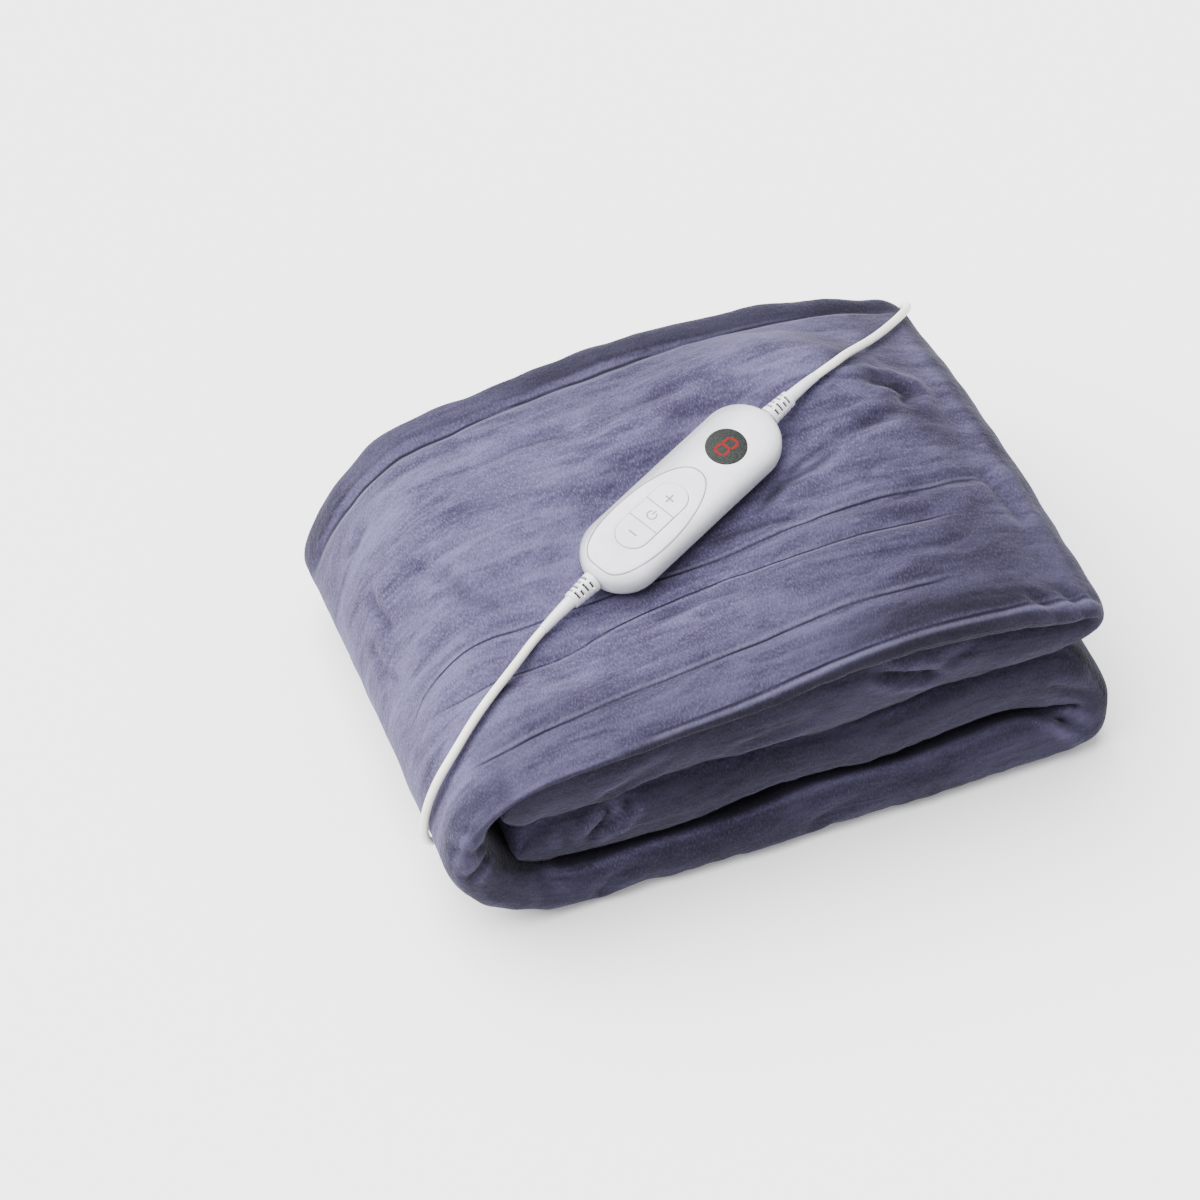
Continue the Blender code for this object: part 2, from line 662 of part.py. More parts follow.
def remade(name, source, finish, collection):
    """The evaluated shape of an object as a plain mesh object in its place."""
    bpy.context.view_layer.update()
    evaluated = source.evaluated_get(bpy.context.evaluated_depsgraph_get())
    mesh = bmesh.new()
    mesh.from_mesh(bpy.data.meshes.new_from_object(evaluated))
    bmesh.ops.remove_doubles(mesh, verts=mesh.verts, dist=WELD)
    made = new_object(name, mesh, finish, collection)
    made.matrix_world = source.matrix_world
    bpy.data.objects.remove(source)
    return made


def relief_profile():
    """Root, grooved part and plain tail of a strain relief, from the inside out."""
    profile = [(0.0, 0.0), (RELIEF_NECK_RADIUS, 0.0), (RELIEF_NECK_RADIUS, RELIEF_ROOT + RELIEF_SHOULDER)]
    pitch = RELIEF_RIBBED / (RELIEF_GROOVES + 1)
    for k in range(RELIEF_GROOVES + 1):
        share = k / RELIEF_GROOVES
        radius = RELIEF_RADIUS + (RELIEF_END_RADIUS - RELIEF_RADIUS) * share
        low = RELIEF_ROOT + pitch * k
        profile += [(radius, low + RELIEF_SHOULDER if k == 0 else low),
                    (radius - RELIEF_RIB_TAPER, low + pitch * RELIEF_RIB_SHARE)]
        if k < RELIEF_GROOVES:
            profile += [(radius - RELIEF_GROOVE_DEPTH, low + pitch * share_along)
                        for share_along in RELIEF_GROOVE_SHARES]
    ribs_end = RELIEF_ROOT + RELIEF_RIBBED
    profile += [(RELIEF_TAIL_RADIUS, ribs_end), (RELIEF_TIP_RADIUS, ribs_end + RELIEF_TAIL),
                (0.0, ribs_end + RELIEF_TAIL)]
    return profile


def make_relief(name, heading, collection):
    """Grooved sleeve with a plain tail, round the cord where it leaves the housing."""
    made = turned(name, relief_profile(), RELIEF_SIDES, WHITE_PLASTIC, collection)
    outward = Vector((heading, 0, 0)).to_track_quat("Z", "Y").to_matrix().to_4x4()
    root = Matrix.Translation((heading * (HOUSING_LENGTH / 2 - RELIEF_ROOT), 0, 0))
    tail_start = HOUSING_LENGTH / 2 + RELIEF_RIBBED
    for vertex in made.data.vertices:
        place = root @ outward @ vertex.co
        down_tail = max(0.0, abs(place.x) - tail_start) / RELIEF_TAIL
        place.z -= RELIEF_DROOP * down_tail ** 2
        vertex.co = place
    made.matrix_world = controller_matrix()


def relief_tip(heading):
    """Where the cord's middle comes out of a relief, and the way it points there."""
    reach = HOUSING_LENGTH / 2 + RELIEF_RIBBED + RELIEF_TAIL + CORD_GAP
    frame = controller_matrix()
    way = Vector((heading, 0, -2.0 * RELIEF_DROOP / RELIEF_TAIL)).normalized()
    return frame @ Vector((heading * reach, 0, -RELIEF_DROOP)), frame.to_3x3() @ way


def make_controller(collection, cutters):
    frame = controller_matrix()
    shape = stadium(HOUSING_LENGTH, HOUSING_WIDTH)
    base_levels = [(0.0, -PART_GAP / 2)] + edge_levels(BASE_HEIGHT, -1)[1:]
    cover_levels = [(0.0, PART_GAP / 2)] + edge_levels(COVER_HEIGHT, 1)[1:]
    base = new_object("controller_base", lofted(shape, base_levels), WHITE_PLASTIC, collection)
    cover = new_object("controller_cover", lofted(shape, cover_levels), WHITE_PLASTIC, collection)
    made = [base, cover]

    # sockets that hold the roots of the two strain reliefs, half in each shell
    for heading in (1, -1):
        socket = cylinder_between(Vector((heading * (HOUSING_LENGTH / 2 - RELIEF_ROOT - PART_GAP), 0, 0)),
                                  Vector((heading * (HOUSING_LENGTH / 2 + CUTTER_REACH), 0, 0)),
                                  RELIEF_NECK_RADIUS + PART_GAP, "socket_cutter", WHITE_PLASTIC, cutters)
        made.append(socket)
        cut(base, socket)
        cut(cover, socket)

    # round display window, flush in the cover
    top = COVER_HEIGHT
    window = disc(DISPLAY_RADIUS, DISPLAY_CENTRE)
    window_levels = [(-PART_GAP, top - DISPLAY_DEPTH - PART_GAP), (-PART_GAP, top + CUTTER_REACH)]
    window_cutter = new_object("window_cutter", lofted(window, window_levels), WHITE_PLASTIC, cutters)
    cut(cover, window_cutter)
    made.append(window_cutter)
    made.append(new_object("display_window",
                           lofted(window, [(0.0, top - DISPLAY_DEPTH), (0.0, top - DISPLAY_SUNK)]),
                           DARK_WINDOW, collection))

    # egg-shaped key panel let into the cover, with an opening for the three keys
    panel = egg(PANEL_CENTRE, PANEL_HALF_LENGTH, PANEL_HALF_WIDTH)
    panel_levels = [(-PART_GAP, top - PANEL_DEPTH - PART_GAP), (-PART_GAP, top + CUTTER_REACH)]
    panel_cutter = new_object("panel_cutter", lofted(panel, panel_levels), WHITE_PLASTIC, cutters)
    cut(cover, panel_cutter)
    made.append(panel_cutter)
    key_panel = new_object("key_panel",
                           lofted(panel, [(0.0, top - PANEL_DEPTH), (0.0, top + PANEL_PROUD * PANEL_RIM),
                                          (PANEL_EDGE, top + PANEL_PROUD)]),
                           KEY_FILM, collection)
    made.append(key_panel)
    row_start = KEY_CENTRE - KEY_ROW_LENGTH / 2
    row_end = KEY_CENTRE + KEY_ROW_LENGTH / 2
    whole_row = key_outline(row_start, row_end, True, True)
    key_top = top + PANEL_PROUD + KEY_PROUD
    key_bottom = key_top - KEY_HEIGHT
    well_floor = key_bottom - KEY_TRAVEL - PART_GAP
    well = new_object("well_cutter",
                      lofted(whole_row, [(-PART_GAP, well_floor), (-PART_GAP, top + CUTTER_REACH)]),
                      WHITE_PLASTIC, cutters)
    cut(cover, well)
    cut(key_panel, well)
    made.append(well)

    # the three keys
    middle_start = KEY_CENTRE - KEY_MIDDLE_LENGTH / 2
    middle_end = KEY_CENTRE + KEY_MIDDLE_LENGTH / 2
    for name, start, end, round_start, round_end in (
            ("key_minus", row_start, middle_start - KEY_SLOT / 2, True, False),
            ("key_power", middle_start + KEY_SLOT / 2, middle_end - KEY_SLOT / 2, False, False),
            ("key_plus", middle_end + KEY_SLOT / 2, row_end, False, True)):
        outline = key_outline(start, end, round_start, round_end)
        made.append(new_object(name,
                               lofted(outline, [(0.0, key_bottom), (0.0, key_top - KEY_EDGE[0]),
                                                (KEY_ROUND[0], key_top - KEY_EDGE[1]),
                                                (KEY_ROUND[1], key_top)]),
                               KEY_FILM, collection))
    for item in made:
        item.matrix_world = frame
    make_relief("relief_upper", 1, collection)
    make_relief("relief_lower", -1, collection)


# -------------------------------------------------------------------- the cords
def spline_point(points, place):
    """A point of the even cubic B-spline that the route's points pull into shape.
    It starts at the first point and ends at the last; place runs from 0 to 1."""
    spans = len(points) - 3
    knots = [0.0] * 4 + [float(k) for k in range(1, spans)] + [float(spans)] * 4
    t = min(max(place, 0.0), 1.0) * spans
    span = min(int(t), spans - 1) + 3
    pulled = [points[span - 3 + k].copy() for k in range(4)]
    for level_number in range(1, 4):
        for k in range(3, level_number - 1, -1):
            low = knots[span - 3 + k]
            high = knots[span + 1 + k - level_number]
            pulled[k] = pulled[k - 1].lerp(pulled[k], (t - low) / (high - low))
    return pulled[3]


def smooth_route(points, step=CORD_STEP):
    """Points at even steps along a smooth curve, from the route's first point to its last."""
    points = [Vector(point) for point in points]
    fine_count = SPLINE_STEPS * len(points)
    fine = [spline_point(points, k / fine_count) for k in range(fine_count + 1)]
    lengths = [0.0]
    for start, end in zip(fine, fine[1:]):
        lengths.append(lengths[-1] + (end - start).length)
    count = max(2, round(lengths[-1] / step))
    even = []
    place = 0
    for k in range(count + 1):
        target = lengths[-1] * k / count
        while place < len(fine) - 2 and lengths[place + 1] < target:
            place += 1
        share = (target - lengths[place]) / (lengths[place + 1] - lengths[place])
        even.append(fine[place].lerp(fine[place + 1], share))
    return even


def make_cord(name, route, collection):
    """A stretch of cord as a round tube with closed ends."""
    curve = bpy.data.curves.new(name, "CURVE")
    curve.dimensions = "3D"
    curve.bevel_depth = CORD_DIAMETER / 2
    curve.bevel_resolution = CORD_ROUNDNESS
    curve.use_fill_caps = True
    points = smooth_route(route)
    spline = curve.splines.new("POLY")
    spline.points.add(len(points) - 1)
    for knot, point in zip(spline.points, points):
        knot.co = (*point, 1.0)
    made = bpy.data.objects.new(name, curve)
    curve.materials.append(material(CORD_WHITE))
    collection.objects.link(made)
    return made


def make_coil(collection):
    """The coiled rest of the mains lead as one turned ring that lies on the floor."""
    half_width = CORD_DIAMETER * COIL_TURNS_WIDE / 2 + COIL_SLACK
    height = CORD_DIAMETER * COIL_TURNS_HIGH + COIL_SLACK
    corner = CORD_DIAMETER / 2
    inner, outer = COIL_RADIUS - half_width, COIL_RADIUS + half_width
    profile = [(inner + corner, 0.0), (outer - corner, 0.0), (outer, corner), (outer, height - corner),
               (outer - corner, height), (inner + corner, height), (inner, height - corner), (inner, corner)]
    made = turned("mains_coil", profile, COIL_STEPS, CORD_WHITE, collection, closed=True)
    made.location = COIL_CENTRE
    return made


def make_plug(collection, cutters):
    """Plain two-pin plug at the mains lead's end: body, and two pins in its face."""
    along = PLUG_HEADING.normalized()
    side = Vector((0, 0, 1)).cross(along)
    frame = Matrix.Translation(PLUG_ENTRY) @ Matrix((along, side, Vector((0, 0, 1)))).transposed().to_4x4()
    mesh = bmesh.new()
    rings = []
    for row in PLUG_ROWS:
        section = dict(zip(PLUG_COLUMNS, row))
        ring = []
        for k in range(PLUG_SIDES):
            turn = 2 * math.pi * k / PLUG_SIDES
            c, s = math.cos(turn), math.sin(turn)
            wide = section["half_width"] * math.copysign(abs(c) ** (2 / PLUG_CORNERS), c)
            high = section["half_height"] * math.copysign(abs(s) ** (2 / PLUG_CORNERS), s)
            ring.append(mesh.verts.new((section["distance"], wide, high)))
        rings.append(ring)
    for ring, following in zip(rings, rings[1:]):
        for k in range(PLUG_SIDES):
            n = (k + 1) % PLUG_SIDES
            mesh.faces.new((ring[k], ring[n], following[n], following[k]))
    mesh.faces.new(list(reversed(rings[0])))
    mesh.faces.new(rings[-1])
    bmesh.ops.recalc_face_normals(mesh, faces=mesh.faces)
    body = new_object("mains_plug", mesh, WHITE_PLASTIC, collection)
    body.matrix_world = frame
    face = PLUG_ROWS[-1][0]
    for number, heading in ((1, 1), (2, -1)):
        axis = heading * PIN_PITCH / 2
        start = Vector((face - PIN_ROOT, axis, 0))
        end = Vector((face + PIN_LENGTH, axis, 0))
        pin = cylinder_between(start, end, PIN_RADIUS, "plug_pin_%d" % number, METAL, collection, PIN_SIDES)
        bore = cylinder_between(start - Vector((PART_GAP, 0, 0)), end, PIN_RADIUS + PART_GAP,
                                "pin_cutter_%d" % number, METAL, cutters, PIN_SIDES)
        pin.matrix_world = bore.matrix_world = frame
        cut(body, bore)


def make_cords(collection, cutters):
    start, heading = relief_tip(1)
    meeting = COIL_CENTRE.y - COIL_RADIUS - CORD_DIAMETER
    top_turn = CORD_DIAMETER * (COIL_TURNS_HIGH - 0.5)
    ring_side = COIL_CENTRE.x + COIL_MEETING
    ring_end = Vector((ring_side, meeting, top_turn))
    make_cord("mains_cord", [start, start + heading * CORD_LEAD, *MAINS_ROUTE,
                             ring_end + Vector((CORD_LEAD, 0, COIL_RAISE)), ring_end], collection)
    make_coil(collection)
    tail_start = Vector((COIL_CENTRE.x - COIL_MEETING, meeting, CORD_DIAMETER * 0.5 + CORD_GAP))
    end = PLUG_ENTRY - PLUG_HEADING.normalized() * CORD_GAP
    make_cord("mains_tail", [tail_start, tail_start - Vector((CORD_LEAD, 0, 0)),
                             end - PLUG_HEADING.normalized() * CORD_LEAD, end], collection)
    make_plug(collection, cutters)
    start, heading = relief_tip(-1)
    outside = Vector((0, 1, 0))
    make_cord("blanket_lead", [start, start + heading * CORD_LEAD, *BLANKET_ROUTE,
                               BLANKET_ENTRY + outside * CORD_LEAD,
                               BLANKET_ENTRY + outside * CORD_GAP], collection)


def main():
    for old in list(bpy.data.objects):
        bpy.data.objects.remove(old)
    collection = bpy.data.collections.new("heated_blanket")
    cutters = bpy.data.collections.new("cutters")
    bpy.context.scene.collection.children.link(collection)
    bpy.context.scene.collection.children.link(cutters)
    make_blanket(collection)
    make_controller(collection, cutters)
    make_cords(collection, cutters)


main()
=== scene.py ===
"""Looks of the folded electric heated blanket: plush cloth, hand controller and cords.

Metres, +Z up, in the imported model's own frame: +X along the folds, +Y to the rear.
"""
import math

import bmesh
import bpy
import numpy as np
from mathutils import Matrix, Vector, noise


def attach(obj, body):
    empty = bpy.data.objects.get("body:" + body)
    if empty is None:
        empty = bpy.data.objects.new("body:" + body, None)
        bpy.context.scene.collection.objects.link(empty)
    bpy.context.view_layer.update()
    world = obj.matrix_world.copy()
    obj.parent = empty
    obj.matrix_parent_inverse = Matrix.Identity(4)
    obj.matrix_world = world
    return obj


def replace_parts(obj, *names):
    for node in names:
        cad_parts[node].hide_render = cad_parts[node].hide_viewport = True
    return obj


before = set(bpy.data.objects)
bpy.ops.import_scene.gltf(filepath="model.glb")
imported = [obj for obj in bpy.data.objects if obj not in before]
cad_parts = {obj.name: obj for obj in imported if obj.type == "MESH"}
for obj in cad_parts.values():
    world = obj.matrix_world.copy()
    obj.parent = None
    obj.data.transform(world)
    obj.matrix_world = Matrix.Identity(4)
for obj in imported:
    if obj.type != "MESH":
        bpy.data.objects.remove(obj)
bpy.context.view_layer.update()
scene = bpy.context.scene

# =============================================================== the camera
IMAGE = 1200.0
AZIMUTH = math.radians(-22.0)
ELEVATION = math.radians(46.0)
DISTANCE = 2.2
AIM = Vector((-0.0037, 0.0, 0.060))
SCALE_AT_AIM = 1900.0            # pixels per metre at the aim point
CENTRE_X, CENTRE_Y = 692.0, 601.0
SENSOR = 36.0


def make_camera():
    back = Vector((math.sin(AZIMUTH) * math.cos(ELEVATION), -math.cos(AZIMUTH) * math.cos(ELEVATION),
                   math.sin(ELEVATION)))
    data = bpy.data.cameras.new("camera")
    data.sensor_width = SENSOR
    data.lens = SCALE_AT_AIM * DISTANCE / IMAGE * SENSOR
    data.shift_x = (IMAGE / 2 - CENTRE_X) / IMAGE
    data.shift_y = (CENTRE_Y - IMAGE / 2) / IMAGE
    data.clip_start = 0.05
    data.clip_end = 50.0
    camera = bpy.data.objects.new("camera", data)
    scene.collection.objects.link(camera)
    turned = back.to_track_quat("Z", "Y").to_matrix().to_4x4()
    camera.matrix_world = Matrix.Translation(AIM + back * DISTANCE) @ turned
    scene.camera = camera


# =============================================================== material helpers
class Tree:
    """Small helper that adds nodes to a material and links them."""

    def __init__(self, name):
        self.material = bpy.data.materials.new(name)
        self.material.use_nodes = True
        self.nodes = self.material.node_tree.nodes
        self.links = self.material.node_tree.links
        self.shader = self.nodes["Principled BSDF"]

    def set(self, target, **inputs):
        """Link or set inputs by name, or by number where the name is an i and digits."""
        for name, value in inputs.items():
            numbered = name[0] == "i" and name[1:].isdigit()
            socket = target.inputs[int(name[1:]) if numbered else name.replace("_", " ")]
            if isinstance(value, bpy.types.NodeSocket):
                self.links.new(value, socket)
            else:
                socket.default_value = value
        return target

    def add(self, kind, settings=None, **inputs):
        made = self.nodes.new(kind)
        for name, value in (settings or {}).items():
            setattr(made, name, value)
        return self.set(made, **inputs)

    def math(self, operation, a, b=0.0):
        return self.add("ShaderNodeMath", {"operation": operation}, i0=a, i1=b).outputs[0]

    def attribute(self, name, output="Fac"):
        return self.add("ShaderNodeAttribute", {"attribute_name": name}).outputs[output]

    def place(self):
        return self.add("ShaderNodeTexCoord").outputs["Object"]

    def stretched(self, place, *scale):
        return self.add("ShaderNodeMapping", None, Vector=place, Scale=scale).outputs[0]

    def mix(self, share, a, b):
        made = self.add("ShaderNodeMix", {"data_type": "RGBA"}, i0=share, i6=a, i7=b)
        return made.outputs[2]

    def ramp(self, share, low, high, to_low=0.0, to_high=1.0):
        made = self.add("ShaderNodeMapRange", {"interpolation_type": "SMOOTHSTEP"},
                        i0=share, i1=low, i2=high, i3=to_low, i4=to_high)
        return made.outputs[0]

    def noise(self, where, scale, detail=3.0, roughness=0.5, distortion=0.0):
        made = self.add("ShaderNodeTexNoise", None, Vector=where, Scale=scale, Detail=detail,
                        Roughness=roughness, Distortion=distortion)
        return made.outputs["Fac"]

    def bump(self, height, distance, strength=1.0, before=None):
        made = self.add("ShaderNodeBump", None, Height=height, Distance=distance, Strength=strength)
        if before is not None:
            self.links.new(before, made.inputs["Normal"])
        return made.outputs["Normal"]


def rgb(red, green, blue):
    """A colour from the usual 0 to 255 display values, as linear light."""
    def linear(value):
        value /= 255.0
        return value / 12.92 if value <= 0.04045 else ((value + 0.055) / 1.055) ** 2.4
    return linear(red), linear(green), linear(blue), 1.0


# =============================================================== materials
def plush_material():
    tree = Tree("plush")
    place = tree.place()
    cloth = tree.attribute("cloth", "Vector")
    seam, sewn, shade = (tree.attribute(name) for name in ("seam", "sewn", "shade"))

    # brushed nap: soft patches, drawn streaks along the cloth, fine mottling and single fibres
    patches = tree.noise(place, 11.0, 2.0, 0.45, 0.3)
    streaks = tree.noise(tree.stretched(cloth, 17.0, 90.0, 30.0), 1.0, 3.0, 0.55, 1.2)
    mottle = tree.noise(place, 150.0, 3.0, 0.60, 0.3)
    fibre = tree.noise(tree.stretched(cloth, 1150.0, 480.0, 400.0), 1.0, 2.0, 0.65)
    nap_and_painted_shade = tree.math("MULTIPLY", patches, 0.30)
    for layer, share in ((streaks, 0.34), (mottle, 0.12), (fibre, 0.24)):
        nap_and_painted_shade = tree.math("ADD", nap_and_painted_shade, tree.math("MULTIPLY", layer, share))
    light = tree.ramp(nap_and_painted_shade, 0.36, 0.64)
    colour = tree.mix(light, rgb(48, 44, 64), rgb(90, 86, 116))
    bright_fibre = tree.math("MULTIPLY", tree.ramp(fibre, 0.50, 0.72), 0.18)
    colour = tree.mix(bright_fibre, colour, rgb(122, 119, 150))
    # painted shade towards near black and painted light towards pale violet, from the shade attribute
    dark_share = tree.math("MAXIMUM", shade, 0.0)
    light_share = tree.math("MAXIMUM", tree.math("MULTIPLY", shade, -1.0), 0.0)
    colour = tree.mix(dark_share, colour, rgb(12, 11, 15))
    colour = tree.mix(light_share, colour, rgb(150, 148, 176))

    # painted shade in a seam's trough, with a painted highlight on its open side
    line = tree.math("ABSOLUTE", seam)
    uneven = tree.math("MULTIPLY", tree.ramp(streaks, 0.35, 0.60, 0.45, 0.95), sewn)
    painted_seam_shade = tree.math("MULTIPLY", tree.ramp(line, 0.0003, 0.0011, 1.0, 0.0), uneven)
    colour = tree.mix(painted_seam_shade, colour, rgb(18, 17, 26))
    rising, falling = tree.ramp(seam, 0.0008, 0.0018), tree.ramp(seam, 0.0022, 0.0040, 1.0, 0.0)
    painted_seam_highlight = tree.math("MULTIPLY", rising, falling)
    painted_seam_highlight = tree.math("MULTIPLY", painted_seam_highlight, tree.math("MULTIPLY", sewn, 0.09))
    colour = tree.mix(painted_seam_highlight, colour, rgb(150, 148, 178))
    tree.set(tree.shader, Base_Color=colour, Roughness=0.95, Specular_IOR_Level=0.10,
             Sheen_Weight=0.14, Sheen_Roughness=0.40, Sheen_Tint=rgb(212, 210, 235))

    clumps = tree.noise(place, 330.0, 3.0, 0.6, 0.3)
    normal = tree.bump(mottle, 0.0016, 0.50)
    normal = tree.bump(clumps, 0.0012, 0.55, normal)
    normal = tree.bump(fibre, 0.0006, 0.60, normal)
    tree.set(tree.shader, Normal=normal)
    return tree.material


def plastic_material(name, colour, roughness, grain=0.00003, coat=0.0):
    """Moulded plastic, a little uneven in colour and shine, with a fine grain."""
    tree = Tree(name)
    place = tree.place()
    wear = tree.noise(place, 60.0, 4.0, 0.6)
    pebble = tree.noise(place, 2200.0, 2.0, 0.5)
    darker = tuple(c * 0.90 for c in colour[:3]) + (1.0,)
    tree.set(tree.shader, Base_Color=tree.mix(tree.ramp(wear, 0.35, 0.70), colour, darker),
             Roughness=tree.ramp(wear, 0.3, 0.7, roughness * 0.85, roughness * 1.2),
             Coat_Weight=coat, Coat_Roughness=0.12, Normal=tree.bump(pebble, grain, 0.5))
    return tree.material


def shell_material():
    """Glossy white shell, with painted shade greying the side that is turned to the rear left."""
    tree = Tree("upper_shell_white")
    place = tree.place()
    aside = tree.add("ShaderNodeSeparateXYZ", None, Vector=place).outputs["Y"]
    wear = tree.noise(place, 60.0, 4.0, 0.6)
    pebble = tree.noise(place, 2200.0, 2.0, 0.5)
    white = tree.mix(tree.ramp(wear, 0.35, 0.70), rgb(214, 214, 221), rgb(203, 203, 211))
    # painted shade on the side turned to the rear left
    turned = tree.ramp(aside, 0.002, 0.021, 0.0, 0.80)
    tree.set(tree.shader, Base_Color=tree.mix(turned, white, rgb(118, 118, 127)),
             Roughness=tree.ramp(wear, 0.3, 0.7, 0.20, 0.30), Coat_Weight=0.25, Coat_Roughness=0.12,
             Normal=tree.bump(pebble, 0.00002, 0.5))
    return tree.material


def window_material():
    """Smoked display window: dark grey-green with a fine speckle and soft clouds."""
    tree = Tree("smoked_window")
    place = tree.place()
    speckle = tree.noise(place, 1500.0, 2.0, 0.7)
    cloud = tree.noise(place, 160.0, 2.0, 0.5)
    colour = tree.mix(tree.ramp(speckle, 0.38, 0.66), rgb(18, 21, 20), rgb(46, 50, 46))
    colour = tree.mix(tree.math("MULTIPLY", cloud, 0.30), colour, rgb(24, 27, 28))
    tree.set(tree.shader, Base_Color=colour, Roughness=tree.ramp(speckle, 0.3, 0.7, 0.45, 0.60),
             Specular_IOR_Level=0.15)
    return tree.material


def glow_material():
    tree = Tree("lit_segment")
    cloud = tree.noise(tree.place(), 900.0, 2.0, 0.5)
    colour = tree.mix(cloud, rgb(104, 0, 2), rgb(124, 0, 5))
    tree.set(tree.shader, Base_Color=colour, Roughness=0.4, Emission_Color=colour,
             Emission_Strength=0.05, Specular_IOR_Level=0.1)
    return tree.material


def metal_material():
    tree = Tree("pin_steel")
    scratch = tree.noise(tree.stretched(tree.place(), 60.0, 1500.0, 1500.0), 1.0, 3.0, 0.6)
    tree.set(tree.shader, Base_Color=tree.mix(scratch, rgb(196, 194, 188), rgb(226, 224, 218)),
             Roughness=tree.ramp(scratch, 0.3, 0.7, 0.22, 0.36), Metallic=1.0,
             Normal=tree.bump(scratch, 0.00004, 0.5))
    return tree.material


PLUSH = plush_material()
SHELL = plastic_material("white_shell", rgb(213, 213, 220), 0.26, 0.00002, 0.25)
COVER = shell_material()
FILM = plastic_material("key_film", rgb(214, 214, 221), 0.38, 0.00004)
PRINT = plastic_material("grey_print", rgb(112, 112, 126), 0.50)
GROOVE = plastic_material("groove_shadow", rgb(34, 34, 38), 0.70)
RUBBER = plastic_material("cord_sheath", rgb(232, 230, 222), 0.42, 0.00003)
TIE = plastic_material("tie_band", rgb(70, 70, 74), 0.55)
WINDOW = window_material()
GLOW = glow_material()
STEEL = metal_material()


def finish_mesh(name, mesh, material, smooth_angle=math.radians(35)):
    data = bpy.data.meshes.new(name)
    mesh.to_mesh(data)
    mesh.free()
    data.shade_smooth()
    data.set_sharp_from_angle(angle=smooth_angle)
    made = bpy.data.objects.new(name, data)
    data.materials.append(material)
    scene.collection.objects.link(made)
    return made


# =============================================================== the cords
CORD_DIAMETER = 0.0045
CORD_LEAD = 0.0080
COIL_RADIUS = 0.0255
COIL_TURNS_WIDE = 3
COIL_TURNS_HIGH = 4
COIL_CENTRE = Vector((0.0463, 0.1790, 0.0))
COIL_MEETING = 0.0178
TURN_POINTS = 18
PLUG_ENTRY = Vector((-0.0117, 0.1535, 0.0075))
PLUG_HEADING = Vector((-1.0, 0.10, 0.0)).normalized()

MAINS_ROUTE = (
    (0.0945, 0.0440, 0.1588),
    (0.1040, 0.0530, 0.1535),
    (0.1160, 0.0640, 0.1448),
    (0.1300, 0.0760, 0.1356),
    (0.1440, 0.0875, 0.1292),
    (0.1565, 0.0985, 0.1236),
    (0.1675, 0.1110, 0.1160),
    (0.1745, 0.1245, 0.1055),
    (0.1745, 0.1385, 0.0915),
    (0.1650, 0.1485, 0.0730),
    (0.1490, 0.1545, 0.0530),
    (0.1270, 0.1545, 0.0365),
    (0.1040, 0.1525, 0.0250),
    (0.0850, 0.1500, 0.0185),
)
BLANKET_ROUTE = (
    (-0.1180, -0.0570, 0.1200),
    (-0.1310, -0.0670, 0.1187),
    (-0.1440, -0.0755, 0.1155),
    (-0.1560, -0.0825, 0.1088),
    (-0.1665, -0.0890, 0.1005),
    (-0.1765, -0.0935, 0.0915),
    (-0.1835, -0.0950, 0.0775),
    (-0.1862, -0.0935, 0.0620),
    (-0.1855, -0.0895, 0.0465),
    (-0.1815, -0.0835, 0.0330),
    (-0.1755, -0.0750, 0.0225),
    (-0.1690, -0.0645, 0.0135),
    (-0.1630, -0.0520, 0.0072),
    (-0.1580, -0.0370, 0.0040),
    (-0.1550, -0.0180, 0.0026),
    (-0.1540, 0.0200, 0.0026),
    (-0.1540, 0.0700, 0.0026),
    (-0.1535, 0.1100, 0.0028),
    (-0.1510, 0.1380, 0.0045),
    (-0.1410, 0.1570, 0.0085),
    (-0.1250, 0.1610, 0.0130),
    (-0.1107, 0.1520, 0.0180),
)
BLANKET_ENTRY = Vector((-0.1057, 0.1311, 0.0210))

# ---- the controller's seat, needed by the cords too
SEAT_POINT = Vector((-0.0100, -0.0018, 0.1335))
SEAT_TILT = math.radians(13.5)
LEAN_HEADING = Vector((-0.440, -0.898, 0.0)).normalized()
AXIS_HEADING = Vector((0.8983, 0.4394, 0.0))
HOUSING_LENGTH = 0.132
HOUSING_WIDTH = 0.0435
BASE_HEIGHT = 0.0085
PART_GAP = 0.0003
RELIEF_ROOT = 0.0050
RELIEF_RIBBED = 0.0160
RELIEF_TAIL = 0.0200
RELIEF_DROOP = 0.0022
CORD_GAP = 0.0004

SEAT_NORMAL = LEAN_HEADING * math.sin(SEAT_TILT) + Vector((0, 0, math.cos(SEAT_TILT)))
SEAT_ALONG = (AXIS_HEADING - SEAT_NORMAL * AXIS_HEADING.dot(SEAT_NORMAL)).normalized()
SEAT_SIDE = SEAT_NORMAL.cross(SEAT_ALONG)
CONTROLLER = Matrix.Translation(SEAT_POINT + SEAT_NORMAL * BASE_HEIGHT) @ Matrix(
    (SEAT_ALONG, SEAT_SIDE, SEAT_NORMAL)).transposed().to_4x4()


def relief_tip(heading):
    reach = HOUSING_LENGTH / 2 + RELIEF_RIBBED + RELIEF_TAIL + CORD_GAP
    way = Vector((heading, 0, -2.0 * RELIEF_DROOP / RELIEF_TAIL)).normalized()
    return CONTROLLER @ Vector((heading * reach, 0, -RELIEF_DROOP)), CONTROLLER.to_3x3() @ way


